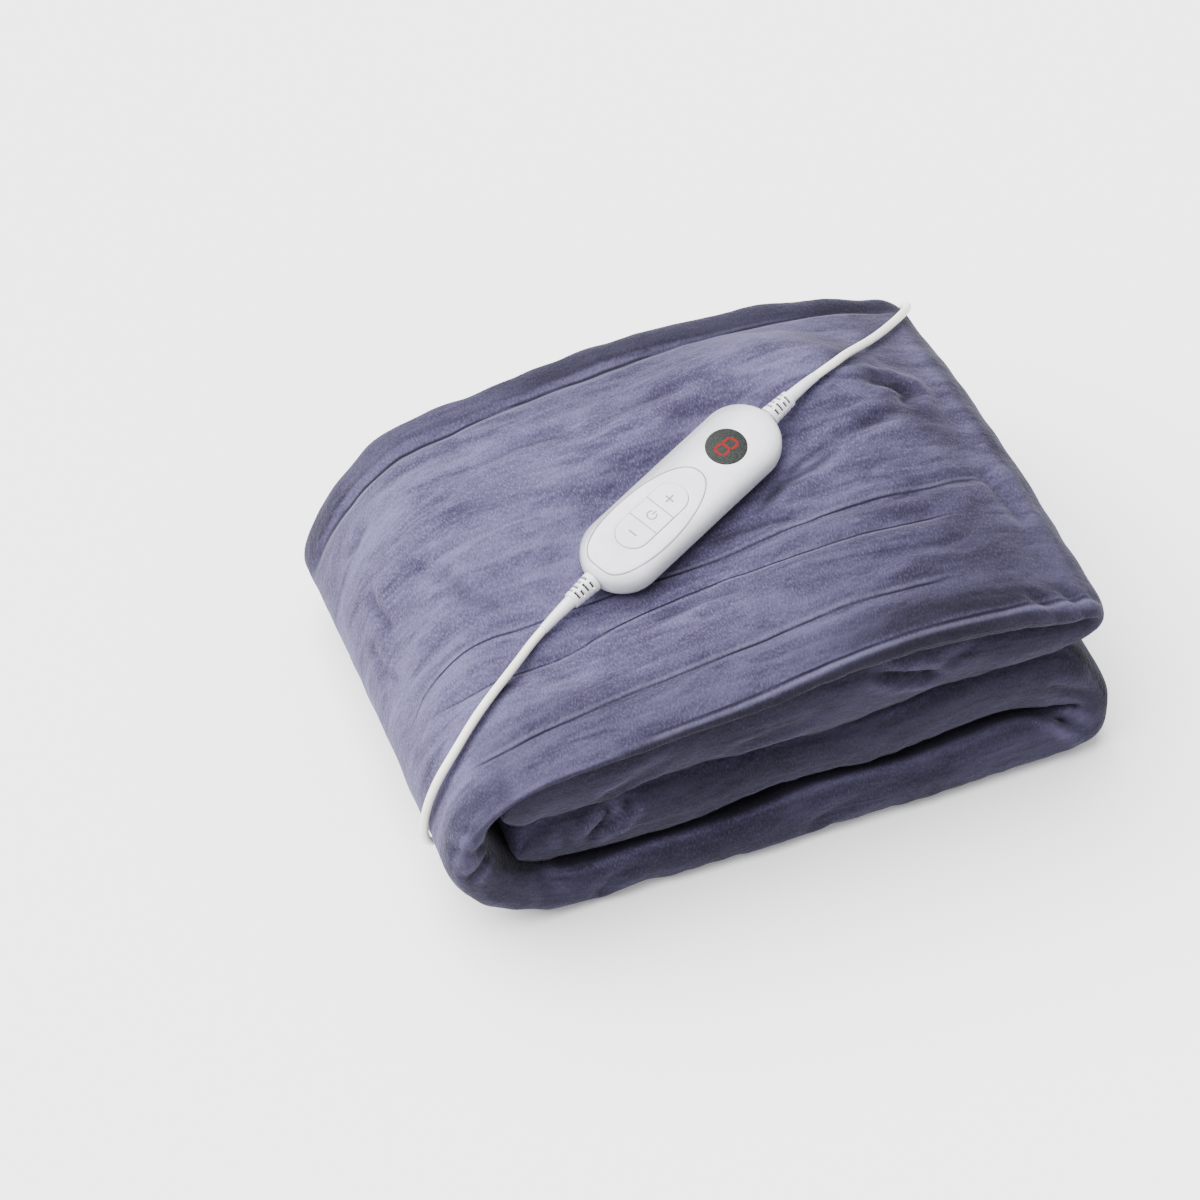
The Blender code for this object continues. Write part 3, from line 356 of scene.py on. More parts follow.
def coil_points():
    """Middle line of the coil: three turns wide and four high, wound in and out from the top."""
    depth = CORD_DIAMETER
    radii = [COIL_RADIUS + depth * offset for offset in (1, 0, -1)]
    turns = []
    for layer in range(COIL_TURNS_HIGH):
        order = radii if layer % 2 == 0 else radii[::-1]
        height = depth * (COIL_TURNS_HIGH - 0.5 - layer)
        turns += [(radius, height) for radius in order]
    points = []
    for number, (radius, height) in enumerate(turns):
        following = turns[number + 1] if number + 1 < len(turns) else (radius, height)
        for k in range(TURN_POINTS):
            share = k / TURN_POINTS
            low, high = (0.80, 0.98) if following[0] == radius else (0.62, 0.80)
            blend = smooth_step((share - low) / (high - low))
            here = radius + (following[0] - radius) * blend
            z = height + (following[1] - height) * blend
            angle = -0.5 * math.pi - 2 * math.pi * share
            points.append(COIL_CENTRE + Vector((here * math.cos(angle), here * math.sin(angle), z)))
    last_radius, last_height = turns[-1]
    points.append(COIL_CENTRE + Vector((0, -last_radius, last_height)))
    return points


def smooth_step(t):
    t = min(1.0, max(0.0, t))
    return t * t * (3.0 - 2.0 * t)


def cord_object(name, points):
    curve = bpy.data.curves.new(name, "CURVE")
    curve.dimensions = "3D"
    curve.bevel_depth = CORD_DIAMETER / 2
    curve.bevel_resolution = 4
    curve.use_fill_caps = True
    spline = curve.splines.new("NURBS")
    spline.points.add(len(points) - 1)
    for knot, point in zip(spline.points, points):
        knot.co = (*point, 1.0)
    spline.order_u = 4
    spline.use_endpoint_u = True
    spline.resolution_u = 4
    curve.resolution_u = 4
    made = bpy.data.objects.new(name, curve)
    curve.materials.append(RUBBER)
    scene.collection.objects.link(made)
    return made


def make_mains_lead():
    start, heading = relief_tip(1)
    meeting = COIL_CENTRE.y - COIL_RADIUS - CORD_DIAMETER
    top_turn = CORD_DIAMETER * (COIL_TURNS_HIGH - 0.5)
    ring_end = Vector((COIL_CENTRE.x + COIL_MEETING, meeting, top_turn))
    tail_start = Vector((COIL_CENTRE.x - COIL_MEETING, meeting, CORD_DIAMETER * 0.5 + CORD_GAP))
    plug = PLUG_ENTRY - PLUG_HEADING * CORD_GAP
    points = [start, start + heading * CORD_LEAD]
    points += [Vector(point) for point in MAINS_ROUTE]
    points += [ring_end + Vector((CORD_LEAD, 0, 0.0006)), ring_end, *coil_points(), tail_start,
               tail_start - Vector((CORD_LEAD, 0, 0)), plug - PLUG_HEADING * CORD_LEAD, plug]
    return cord_object("mains_lead", points), start


def make_blanket_lead():
    start, heading = relief_tip(-1)
    outside = Vector((0, 1, 0))
    points = [start, start + heading * CORD_LEAD]
    points += [Vector(point) for point in BLANKET_ROUTE]
    points += [BLANKET_ENTRY + outside * CORD_LEAD, BLANKET_ENTRY + outside * CORD_GAP]
    return cord_object("throw_lead", points), start


TIE_SLACK = 0.0003
TIE_THICKNESS = 0.0009
TIE_HALF_WIDTH = 0.0040
TIE_CORNER = 0.0018
TIE_PLACE = math.radians(62)
TIE_STEPS = 48


def tie_edge(half, way, grow):
    """Distance of the band from the middle of the coil's section, one way: flat sides, round corners."""
    return (half - TIE_CORNER) * math.copysign(1, way) * min(1.0, abs(way) * 3) + (TIE_CORNER + grow) * way


def make_tie():
    """A flat band round the coil's section, at its rear."""
    half_wide = CORD_DIAMETER * COIL_TURNS_WIDE / 2 + TIE_SLACK
    height = CORD_DIAMETER * COIL_TURNS_HIGH + TIE_SLACK
    angle = TIE_PLACE
    outward = Vector((math.cos(angle), math.sin(angle), 0))
    along = Vector((-math.sin(angle), math.cos(angle), 0))
    middle = COIL_CENTRE + outward * COIL_RADIUS + Vector((0, 0, height / 2 + 0.0001))
    mesh = bmesh.new()
    rings = []
    for grow, reach in ((0.0, -1), (TIE_THICKNESS, -1), (TIE_THICKNESS, 1), (0.0, 1)):
        ring = []
        for k in range(TIE_STEPS):
            turn = 2 * math.pi * k / TIE_STEPS
            wide = tie_edge(half_wide, math.cos(turn), grow)
            tall = max(tie_edge(height / 2, math.sin(turn), grow), -height / 2)
            point = middle + outward * wide + Vector((0, 0, tall)) + along * (TIE_HALF_WIDTH * reach)
            ring.append(mesh.verts.new(point))
        rings.append(ring)
    for a, b in zip(rings, rings[1:] + rings[:1]):
        for k in range(TIE_STEPS):
            n = (k + 1) % TIE_STEPS
            mesh.faces.new((a[k], a[n], b[n], b[k]))
    bmesh.ops.recalc_face_normals(mesh, faces=mesh.faces)
    return finish_mesh("coil_tie", mesh, TIE)


# =============================================================== the blanket
STACK_DEPTH = 0.262
LAYER_GAP = 0.0014
EDGE_POWER = 2.3
LEVEL_COLUMNS = ("x", "bottom", "third", "second", "top_front", "top_rear")
LEVEL_ROWS = (
    (-0.1557, 0.036, 0.060, 0.095, 0.1095, 0.1040),
    (-0.1157, 0.026, 0.063, 0.105, 0.1130, 0.1178),
    (-0.0757, 0.027, 0.069, 0.105, 0.1160, 0.1260),
    (-0.0357, 0.028, 0.065, 0.108, 0.1200, 0.1328),
    (0.0043, 0.032, 0.066, 0.114, 0.1270, 0.1360),
    (0.0443, 0.032, 0.066, 0.115, 0.1320, 0.1364),
    (0.0843, 0.033, 0.070, 0.115, 0.1350, 0.1342),
    (0.1243, 0.036, 0.075, 0.110, 0.1300, 0.1258),
    (0.1523, 0.030, 0.077, 0.103, 0.1200, 0.1160),
)
CROWN_RISE = 0.011
CROWN_PEAK = 0.62
CROWN_SHARES = {"bottom": 0.10, "third": 0.25, "second": 0.45, "top": 1.0}
RUN_COLUMNS = ("layer", "x_start", "x_end", "front_inset", "rear_inset", "front_round", "wave", "rear_skew")
RUN_ROWS = (
    ("second", -0.1400, 0.1483, 0.0065, 0.0035, 0.0150, 0.0012, 0.0130),
    ("top", 0.1483, -0.1237, -0.0012, 0.0010, 0.0180, 0.0008, 0.0),
    ("bottom", -0.1057, 0.1463, 0.0005, 0.0000, 0.0150, 0.0008, 0.0),
    ("third", 0.1463, -0.1250, 0.0075, 0.0030, 0.0160, 0.0015, 0.0),
)
SKEW_START = -0.090
SKEW_SPAN = 0.040
REAR_ROUND = 0.0100
WAVE_LENGTH = 0.112
FOLD_COLUMNS = ("outer_reach", "rear_reach", "inner_reach", "length", "outer_sag", "rear_sag", "inner_sag",
                "inner_rear_sag", "rear_slope")
FOLD_ROWS = (
    (0.0280, 0.0250, 0.0130, 0.060, 1.00, 1.00, 1.00, 1.00, 1.30),
    (0.0690, 0.0635, 0.0480, 0.200, 1.10, 1.45, 0.90, 1.35, 1.40),
    (0.0385, 0.0320, 0.0180, 0.105, 1.60, 1.50, 1.00, 1.00, 1.00),
)
TIP_LENGTHS = {"second": 0.015, "third": 0.023}
TIP_SHAPE = 1.0
TIP_STEPS = 10
TIP_THICKNESS = 0.0016
# Sewn channels of the top layer: depth and half width of the trough, how broad the seam line
# is, where it shows from and to, and its way as (x, distance behind the front edge).
CHANNELS = (
    (0.0026, 0.0045, 0.9, -0.168, 0.100,
     ((-0.190, 0.0340), (-0.164, 0.0312), (-0.147, 0.0293), (-0.128, 0.0290), (-0.101, 0.0316),
      (-0.075, 0.0345), (-0.049, 0.0350), (-0.019, 0.0330), (0.015, 0.0340), (0.037, 0.0350),
      (0.068, 0.0315), (0.140, 0.0300))),
    (0.0022, 0.0050, 0.7, -0.172, 0.120,
     ((-0.176, 0.0800), (-0.169, 0.0755), (-0.155, 0.0716), (-0.145, 0.0695), (-0.104, 0.0726),
      (-0.085, 0.0745), (-0.052, 0.0810), (-0.018, 0.0835), (0.012, 0.0785), (0.033, 0.0749),
      (0.081, 0.0708), (0.105, 0.0725))),
    (0.0026, 0.0050, 0.8, -0.184, 0.156,
     ((-0.184, 0.0760), (-0.176, 0.0855), (-0.168, 0.0930), (-0.153, 0.0960), (-0.043, 0.0970),
      (0.019, 0.0955), (0.039, 0.0933), (0.105, 0.0925), (0.143, 0.0962), (0.160, 0.0920))),
    (0.0036, 0.0040, 1.9, -0.200, 0.170,
     ((-0.190, 0.2400), (-0.120, 0.2385), (0.000, 0.2400), (0.080, 0.2425), (0.150, 0.2470))),
)
FULL_SWELL_WIDTH = 0.05          # channels this far apart swell fully between them
SWELL_HEIGHT = 0.0011
CHANNEL_FADE = 0.012
CHANNEL_END = 0.020              # over which a channel runs out
CHANNEL_SOFTNESS = 0.009         # over which a channel's turns are rounded
# The front hem's seam, as (x, distance up the rounded edge).
HEM_LINE = ((-0.090, 0.0060), (-0.030, 0.0075), (0.030, 0.0095), (0.100, 0.0105), (0.150, 0.0120),
            (0.176, 0.0110))
HEM_DEPTH = 0.0009
HEM_GROOVE = 0.0024
HEM_BREADTH = 1.2
HEM_START = -0.090
HEM_FADE = 0.020
SEAT_INNER = 0.030
SEAT_OUTER = 0.084
SEAT_HALF_LENGTH = 0.066
SEAT_BANK = 0.0036
SEAT_BANK_WIDTH = 0.024
LAYER_ORDER = ("bottom", "third", "second", "top")
SHADOW_SIDE = np.array((-0.0014, 0.0022, 0.0010))    # moves the painted shadow to the front right of a cord

SHOWN_STEP = 0.0020          # distance between stations where the cloth shows
HIDDEN_STEP = 0.0021
SHOWN_ROWS = (12, 132, 10, 8, 14, 8)    # front edge, middle, rear edge: outer side, then inner side
HIDDEN_ROWS = (15, 12, 6, 15, 12, 6)


def steps_of(t):
    t = np.clip(t, 0.0, 1.0)
    return t * t * (3.0 - 2.0 * t)


def table_value(rows, columns, name, x):
    """Read one column of a table at x, on a smooth curve through its rows."""
    column = columns.index(name)
    xs = np.array([row[0] for row in rows])
    values = np.array([row[column] for row in rows])
    x = np.clip(x, xs[0], xs[-1])
    i = np.clip(np.searchsorted(xs, x, side="right") - 1, 0, len(xs) - 2)
    before = values[np.maximum(i - 1, 0)]
    after = values[np.minimum(i + 2, len(values) - 1)]
    t = (x - xs[i]) / (xs[i + 1] - xs[i])
    start, end = values[i], values[i + 1]
    slope_start = (end - before) / 2.0
    slope_end = (after - start) / 2.0
    return ((2 * t**3 - 3 * t**2 + 1) * start + (t**3 - 2 * t**2 + t) * slope_start
            + (3 * t**2 - 2 * t**3) * end + (t**3 - t**2) * slope_end)


def crown(across):
    rising = np.sin(0.5 * math.pi * np.minimum(across, CROWN_PEAK) / CROWN_PEAK)
    falling = np.sin(0.5 * math.pi * (1.0 - np.maximum(across, CROWN_PEAK)) / (1.0 - CROWN_PEAK))
    return np.where(across < CROWN_PEAK, rising, falling) ** 1.2


def axis_distance(x, y, half_length):
    """Distance of a place from a middle stretch of the controller's axis, seen from above."""
    dx, dy = x - SEAT_POINT.x, y - SEAT_POINT.y
    down_axis = np.maximum(0.0, np.abs(dx * SEAT_ALONG.x + dy * SEAT_ALONG.y) - half_length)
    return np.hypot(down_axis, dx * SEAT_SIDE.x + dy * SEAT_SIDE.y)


def beside_housing(x, y):
    return axis_distance(x, y, (HOUSING_LENGTH - HOUSING_WIDTH) / 2) - HOUSING_WIDTH / 2


def seat_height(x, y):
    dx, dy = x - SEAT_POINT.x, y - SEAT_POINT.y
    height = SEAT_POINT.z - (SEAT_NORMAL.x * dx + SEAT_NORMAL.y * dy) / SEAT_NORMAL.z - LAYER_GAP
    return height + SEAT_BANK * steps_of(beside_housing(x, y) / SEAT_BANK_WIDTH)


def level(layer, x, y):
    across = np.clip(y / STACK_DEPTH + 0.5, 0.0, 1.0)
    top_front = table_value(LEVEL_ROWS, LEVEL_COLUMNS, "top_front", x)
    top_rear = table_value(LEVEL_ROWS, LEVEL_COLUMNS, "top_rear", x)
    rise = CROWN_RISE * CROWN_SHARES[layer] * crown(across)
    if layer == "top":
        height = top_front + (top_rear - top_front) * across + rise
        away = axis_distance(x, y, SEAT_HALF_LENGTH)
        pull = 1.0 - steps_of((away - SEAT_INNER) / (SEAT_OUTER - SEAT_INNER))
        return height + pull * (seat_height(x, y) - height)
    front = table_value(LEVEL_ROWS, LEVEL_COLUMNS, layer, x)
    rear = front * top_rear / top_front
    return front + (rear - front) * across + rise


def underside(layer, x, y):
    place = LAYER_ORDER.index(layer)
    if place == 0:
        return np.zeros_like(y)
    return level(LAYER_ORDER[place - 1], x, y) + LAYER_GAP


def oval_side(x, reach, high, low, angle, sag, slope=1.0):
    rise = math.sin(angle)
    if rise > 0.0:
        rise = rise ** slope
    share = (1.0 + rise) / 2.0
    return x + reach * math.cos(angle), low + (high - low) * share ** sag


def front_wave(run, x):
    phase = LAYER_ORDER.index(run["layer"]) * 1.7
    return run["wave"] * math.sin(2 * math.pi * x / WAVE_LENGTH + phase)


def channel_place(line, x):
    """Distance of a channel behind the front edge, on a softened line through its points."""
    xs, places = zip(*line)
    return sum(share * np.interp(x + CHANNEL_SOFTNESS * step, xs, places)
               for step, share in ((-1, 0.25), (0, 0.5), (1, 0.25)))


def edge_fullness(distance, rounding):
    inside = np.clip(1.0 - distance / rounding, 0.0, 1.0)
    return (1.0 - inside ** EDGE_POWER) ** (1.0 / EDGE_POWER)


def row_distances(span, rounding, edge, middle, rear):
    """Distances behind the front edge: close together round both edges."""
    front_turns = [rounding * (1.0 - math.cos(0.5 * math.pi * k / edge)) for k in range(edge)]
    rear_turns = [span - REAR_ROUND * (1.0 - math.cos(0.5 * math.pi * k / rear)) for k in range(rear)][::-1]
    start, end = rounding, span - REAR_ROUND
    if middle > 40:
        mids = [start + (end - start) * k / middle for k in range(middle + 1)]
    else:
        mids = [start + (end - start) * steps_of(k / middle) for k in range(middle + 1)]
    return np.array(front_turns + mids + rear_turns)


class Station:
    """One loop of vertices round the cloth, at one place along the strip.

    It goes over the outer side from front to rear and back over the inner side.  Each vertex has
    its share of the way round, its distance behind the front edge, whether it is on the outer
    side, and its way over the cloth from the front edge, which is negative on the inner side.
    """

    def __init__(self, sides, front_inset, rear_inset, rounding, shown, hem, visible):
        self.sides = sides
        self.hem = hem
        self.front = -STACK_DEPTH / 2 + front_inset
        self.rear = STACK_DEPTH / 2 - rear_inset
        self.rounding = rounding
        self.shown = shown
        self.visible = visible

    def build(self):
        rows = SHOWN_ROWS if self.visible else HIDDEN_ROWS
        span = self.rear - self.front
        halves = []
        for outer, (edge, middle, rear) in ((True, rows[:3]), (False, rows[3:])):
            away = row_distances(span, self.rounding, edge, middle, rear)
            y = self.front + away
            full = np.minimum(edge_fullness(away, self.rounding), edge_fullness(span - away, REAR_ROUND))
            (ox, oz), (ix, iz) = self.sides(y)
            ox, oz, ix, iz = (np.broadcast_to(v, y.shape) for v in (ox, oz, ix, iz))
            mid_x, mid_z = (ox + ix) / 2, (oz + iz) / 2
            side_x, side_z = (ox, oz) if outer else (ix, iz)
            x = mid_x + (side_x - mid_x) * full
            z = mid_z + (side_z - mid_z) * full
            row = np.stack([x, y, z], axis=1)
            arc = np.concatenate([[0.0], np.cumsum(np.linalg.norm(np.diff(row, axis=0), axis=1))])
            share = 0.5 * away / span
            if outer:
                halves.append((row, share, away, np.ones(len(away)), arc))
            else:
                half = (row, 1.0 - share, away, np.zeros(len(away)), -arc)
                halves.append([values[-2:0:-1] for values in half])
        joined = [np.concatenate(pair) for pair in zip(*halves)]
        self.points, self.params, self.distances, self.outer, self.arcs = joined


def strip_stations():
    runs = [dict(zip(RUN_COLUMNS, row)) for row in RUN_ROWS]
    folds = [dict(zip(FOLD_COLUMNS, row)) for row in FOLD_ROWS]
    stations = []

    def run_station(run, x, full=1.0, reach=0.0):
        outer_up = run["layer"] in ("top", "third")

        def sides(y):
            across = y / STACK_DEPTH + 0.5
            place = x + run["rear_skew"] * across * smooth_step((SKEW_START - x) / SKEW_SPAN)
            high = level(run["layer"], place, y)
            low = underside(run["layer"], place, y)
            middle = (high + low) / 2.0
            half = np.maximum((high - low) / 2.0 * full, TIP_THICKNESS / 2.0)
            up = (place + reach, middle + half)
            down = (place + reach, middle - half)
            return (up, down) if outer_up else (down, up)
        shown = smooth_step((run["x_start"] - x) / CHANNEL_FADE) if run["layer"] == "top" else 0.0
        front = run["front_inset"] + front_wave(run, x)
        hem = smooth_step((x - HEM_START) / HEM_FADE) if run["layer"] == "top" else 0.0
        on_top = run["layer"] == "top"
        stations.append(Station(sides, front, run["rear_inset"], run["front_round"], shown, hem, on_top))

    def tip(run, x, heading, outward):
        order = range(TIP_STEPS - 1, -1, -1) if outward else range(TIP_STEPS)
        for k in order:
            angle = 0.5 * math.pi * k / TIP_STEPS
            reach = heading * TIP_LENGTHS[run["layer"]] * math.cos(angle)
            run_station(run, x, math.sin(angle) ** TIP_SHAPE, reach)

    def fold_station(number, fold, first, second, turn, t):
        x = first["x_end"] + (second["x_start"] - first["x_end"]) * smooth_step(t)
        angle = math.pi * (t - 0.5) if turn == "up" else math.pi * (0.5 - t)
        heading = 1.0 if x > 0 else -1.0
        lower, upper = (first, second) if turn == "up" else (second, first)

        def sides(y):
            across = y / STACK_DEPTH + 0.5
            reach = fold["outer_reach"] + (fold["rear_reach"] - fold["outer_reach"]) * across
            sag = fold["outer_sag"] + (fold["rear_sag"] - fold["outer_sag"]) * across
            slope = 1.0 + (fold["rear_slope"] - 1.0) * across
            outer_high = level(upper["layer"], x + heading * reach * math.cos(angle), y)
            outer_low = underside(lower["layer"], x, y)
            inner_reach = heading * fold["inner_reach"]
            inner_sag = fold["inner_sag"] + (fold["inner_rear_sag"] - fold["inner_sag"]) * across
            inner_x = x + inner_reach * math.cos(angle) * across
            inner_high = underside(upper["layer"], inner_x, y)
            inner_low = level(lower["layer"], inner_x, y)
            outer = oval_side(x, heading * reach, outer_high, outer_low, angle, sag, slope)
            inner = oval_side(x, inner_reach, inner_high, inner_low, angle, inner_sag, slope)
            return outer, inner
        mix = smooth_step(t)
        edge = [first[key] + (second[key] - first[key]) * mix
                for key in ("front_inset", "rear_inset", "front_round")]
        edge[0] += front_wave(first, first["x_end"]) * (1.0 - mix)
        edge[0] += front_wave(second, second["x_start"]) * mix
        upper_share = mix if turn == "up" else 1.0 - mix
        shown = smooth_step(upper_share * 1.6 - 0.6) if first["layer"] == "top" else 0.0
        hem = smooth_step((mix - 0.55) / 0.25) if number == 0 else 0.0
        stations.append(Station(sides, *edge, shown, hem, number < 2))

    tip(runs[0], runs[0]["x_start"], -1.0, False)
    for number, run in enumerate(runs):
        step = SHOWN_STEP if run["layer"] == "top" else HIDDEN_STEP
        count = round(abs(run["x_end"] - run["x_start"]) / step)
        for k in range(count + 1):
            run_station(run, run["x_start"] + (run["x_end"] - run["x_start"]) * k / count)
        if number < len(folds):
            fold = folds[number]
            following = runs[number + 1]
            turn = "down" if run["layer"] == "top" else "up"
            count = round(fold["length"] / (SHOWN_STEP if number < 2 else HIDDEN_STEP))
            for k in range(1, count):
                fold_station(number, fold, run, following, turn, k / count)
    tip(runs[-1], runs[-1]["x_end"], -1.0, True)
    return stations


def zip_loops(first, second, start_a, start_b, faces):
    """Join two loops of vertices with different counts by triangles and quads."""
    params_a = list(first.params) + [1.0]
    params_b = list(second.params) + [1.0]
    count_a, count_b = len(first.params), len(second.params)
    if count_a == count_b:
        for k in range(count_a):
            n = (k + 1) % count_a
            faces.append((start_a + k, start_a + n, start_b + n, start_b + k))
        return
    i = j = 0
    while i < count_a or j < count_b:
        step_a = params_a[i + 1] if i < count_a else 2.0
        step_b = params_b[j + 1] if j < count_b else 2.0
        a, b = start_a + i % count_a, start_b + j % count_b
        if step_a <= step_b:
            faces.append((a, start_a + (i + 1) % count_a, b))
            i += 1
        else:
            faces.append((a, start_b + (j + 1) % count_b, b))
            j += 1


# Creases: where the cloth is pressed in beside soft folds.  Each row is how deep the crease
# is, its half width, the ridge beside it, its painted shade, and its way over the cloth.
CREASES = (
    # the rolled cloth at the left-hand end, seen from the front
    (0.0026, 0.0034, 0.05, 0.95, ((-0.183, -0.120, 0.066), (-0.178, -0.127, 0.073),
                                  (-0.170, -0.130, 0.073), (-0.162, -0.127, 0.069))),
    (0.0024, 0.0032, 0.05, 0.95, ((-0.178, -0.130, 0.052), (-0.170, -0.132, 0.059), (-0.162, -0.128, 0.065))),
    (0.0014, 0.0030, 0.30, 0.35, ((-0.181, -0.121, 0.079), (-0.172, -0.129, 0.085), (-0.160, -0.130, 0.091))),
    (0.0018, 0.0030, 0.50, 0.35, ((-0.150, -0.131, 0.096), (-0.156, -0.131, 0.089), (-0.160, -0.130, 0.080))),
    # the third layer's front, and the bottom layer's
    (0.0044, 0.0034, 0.60, 1.00, ((-0.095, -0.117, 0.066), (-0.098, -0.121, 0.058), (-0.103, -0.122, 0.050),
                                  (-0.111, -0.121, 0.044))),
    (0.0038, 0.0032, 0.60, 1.00, ((-0.084, -0.118, 0.066), (-0.088, -0.120, 0.060), (-0.095, -0.121, 0.053),
                                  (-0.101, -0.121, 0.047))),
    (0.0020, 0.0028, 0.50, 0.40, ((-0.120, -0.119, 0.061), (-0.121, -0.122, 0.052), (-0.120, -0.122, 0.044))),
    (0.0014, 0.0035, 0.50, 0.30, ((-0.138, -0.121, 0.036), (-0.135, -0.127, 0.029), (-0.134, -0.130, 0.018))),
    (0.0018, 0.0035, 0.50, 0.40, ((-0.112, -0.130, 0.006), (-0.099, -0.129, 0.017), (-0.080, -0.127, 0.022))),
    (0.0016, 0.0035, 0.50, 0.30, ((0.000, -0.130, 0.010), (0.030, -0.129, 0.020), (0.070, -0.127, 0.024))),
    # the second layer's front
    (0.0042, 0.0034, 0.60, 1.00, ((0.040, -0.122, 0.107), (0.063, -0.124, 0.097), (0.088, -0.123, 0.090))),
    (0.0020, 0.0030, 0.55, 0.45, ((0.076, -0.123, 0.096), (0.094, -0.124, 0.101), (0.107, -0.122, 0.106))),
    (0.0016, 0.0035, 0.50, 0.30, ((-0.040, -0.123, 0.078), (-0.010, -0.124, 0.086), (0.020, -0.123, 0.090))),
    (0.0016, 0.0035, 0.50, 0.30, ((-0.110, -0.124, 0.074), (-0.085, -0.125, 0.084), (-0.060, -0.123, 0.092))),
    # the folds at the right-hand end
    (0.0042, 0.0034, 0.60, 1.00, ((0.138, -0.117, 0.036), (0.152, -0.122, 0.032), (0.160, -0.126, 0.024),
                                  (0.170, -0.127, 0.018))),
    (0.0020, 0.0030, 0.50, 0.40, ((0.140, -0.125, 0.060), (0.158, -0.125, 0.050), (0.172, -0.125, 0.040))),
    (0.0024, 0.0030, 0.55, 0.50, ((0.150, -0.114, 0.124), (0.157, -0.125, 0.118), (0.161, -0.131, 0.110))),
    (0.0020, 0.0032, 0.50, 0.40, ((0.127, -0.117, 0.130), (0.139, -0.125, 0.123), (0.145, -0.131, 0.114))),
    # the big left-hand fold, seen from above
    (0.0022, 0.0032, 0.50, 0.40, ((-0.166, 0.044, 0.092), (-0.168, 0.031, 0.091), (-0.167, 0.016, 0.093),
                                  (-0.166, 0.004, 0.095))),
    (0.0016, 0.0036, 0.45, 0.35, ((-0.171, 0.080, 0.078), (-0.163, 0.074, 0.092), (-0.152, 0.082, 0.103))),
    (0.0014, 0.0032, 0.50, 0.30, ((-0.176, 0.020, 0.080), (-0.177, -0.005, 0.080), (-0.172, -0.025, 0.089))),
    (0.0012, 0.0040, 0.45, 0.20, ((-0.150, 0.040, 0.112), (-0.140, 0.015, 0.117), (-0.128, -0.012, 0.120))),
    # drawn lines of the top, most of them along the controller
    (0.0027, 0.0034, 0.50, 0.64, ((-0.013, -0.026, 0.126), (0.009, -0.026, 0.130), (0.028, -0.028, 0.134),
                                  (0.049, -0.034, 0.138))),
    (0.0032, 0.0038, 0.50, 0.72, ((0.018, -0.023, 0.132), (0.043, -0.008, 0.137), (0.060, -0.007, 0.142),
                                  (0.084, -0.001, 0.146))),
    (0.0030, 0.0036, 0.50, 0.64, ((0.030, -0.014, 0.133), (0.058, 0.000, 0.141), (0.102, 0.008, 0.147),
                                  (0.126, 0.016, 0.141))),
    (0.0041, 0.0055, 0.45, 0.80, ((0.104, 0.036, 0.152), (0.120, 0.037, 0.143), (0.131, 0.031, 0.136),
                                  (0.122, 0.016, 0.142))),
    (0.0019, 0.0040, 0.50, 0.40, ((0.050, -0.041, 0.138), (0.082, -0.044, 0.143), (0.113, -0.043, 0.138))),
    (0.0019, 0.0045, 0.50, 0.32, ((-0.029, 0.067, 0.142), (-0.005, 0.068, 0.146), (0.020, 0.063, 0.153))),
    (0.0016, 0.0045, 0.50, 0.32, ((-0.100, 0.069, 0.129), (-0.071, 0.073, 0.133), (-0.039, 0.069, 0.139))),
    (0.0019, 0.0050, 0.50, 0.32, ((-0.138, 0.025, 0.119), (-0.130, -0.013, 0.122), (-0.109, -0.028, 0.121))),
    (0.0022, 0.0045, 0.50, 0.48, ((-0.055, -0.057, 0.117), (-0.022, -0.056, 0.122), (0.007, -0.066, 0.131))),
    (0.0019, 0.0050, 0.50, 0.40, ((0.057, -0.077, 0.140), (0.089, -0.079, 0.141), (0.118, -0.082, 0.136))),
    (0.0019, 0.0045, 0.50, 0.32, ((0.080, 0.060, 0.152), (0.104, 0.050, 0.149), (0.130, 0.048, 0.138))),
    (0.0022, 0.0050, 0.50, 0.40, ((0.147, -0.024, 0.129), (0.151, -0.056, 0.125), (0.154, -0.079, 0.123))),
)


CREASE_LIGHT = 0.26              # painted light on the soft ridges beside a crease

# The soft waves of the cloth: height, scale, seed, stretch, and whether they grow near the edge.
WAVES = ((0.0016, 17.0, 1, (1.0, 1.0, 1.0), False), (0.0010, 52.0, 2, (1.0, 1.0, 1.0), False),
         (0.0005, 130.0, 3, (1.0, 0.5, 0.5), True))
EDGE_PULL = 0.020
PRESSED_BY_HOUSING = 0.0004
PRESSED_BY_CORD = 0.0008
# painted shadow beside the cords and round the housing
CORD_SHADE = 0.62
HOUSING_SHADE = 0.22
INNER_GIVE = 0.35                # how much of a swell is left on the inner side, where layers meet


def noise_field(points, scale, seed, stretch=(1.0, 1.0, 1.0)):
    offset = Vector((seed * 7.31, seed * 3.17, seed * 5.77))
    sx, sy, sz = (scale * s for s in stretch)
    return np.array([noise.noise(Vector((x * sx, y * sy, z * sz)) + offset) for x, y, z in points])


def polyline_distance(points, line):
    """Distance of each point from a line in space, and the share along the line."""
    best = np.full(len(points), 1e9)
    share = np.zeros(len(points))
    total, done = sum(math.dist(a, b) for a, b in zip(line, line[1:])), 0.0
    for a, b in zip(line, line[1:]):
        a, b = np.array(a), np.array(b)
        t = b - a
        length = np.linalg.norm(t)
        along = np.clip((points - a) @ t / length ** 2, 0.0, 1.0)
        distance = np.linalg.norm(points - a - along[:, None] * t, axis=1)
        share = np.where(distance < best, (done + along * length) / total, share)
        best = np.minimum(best, distance)
        done += length
    return best, share


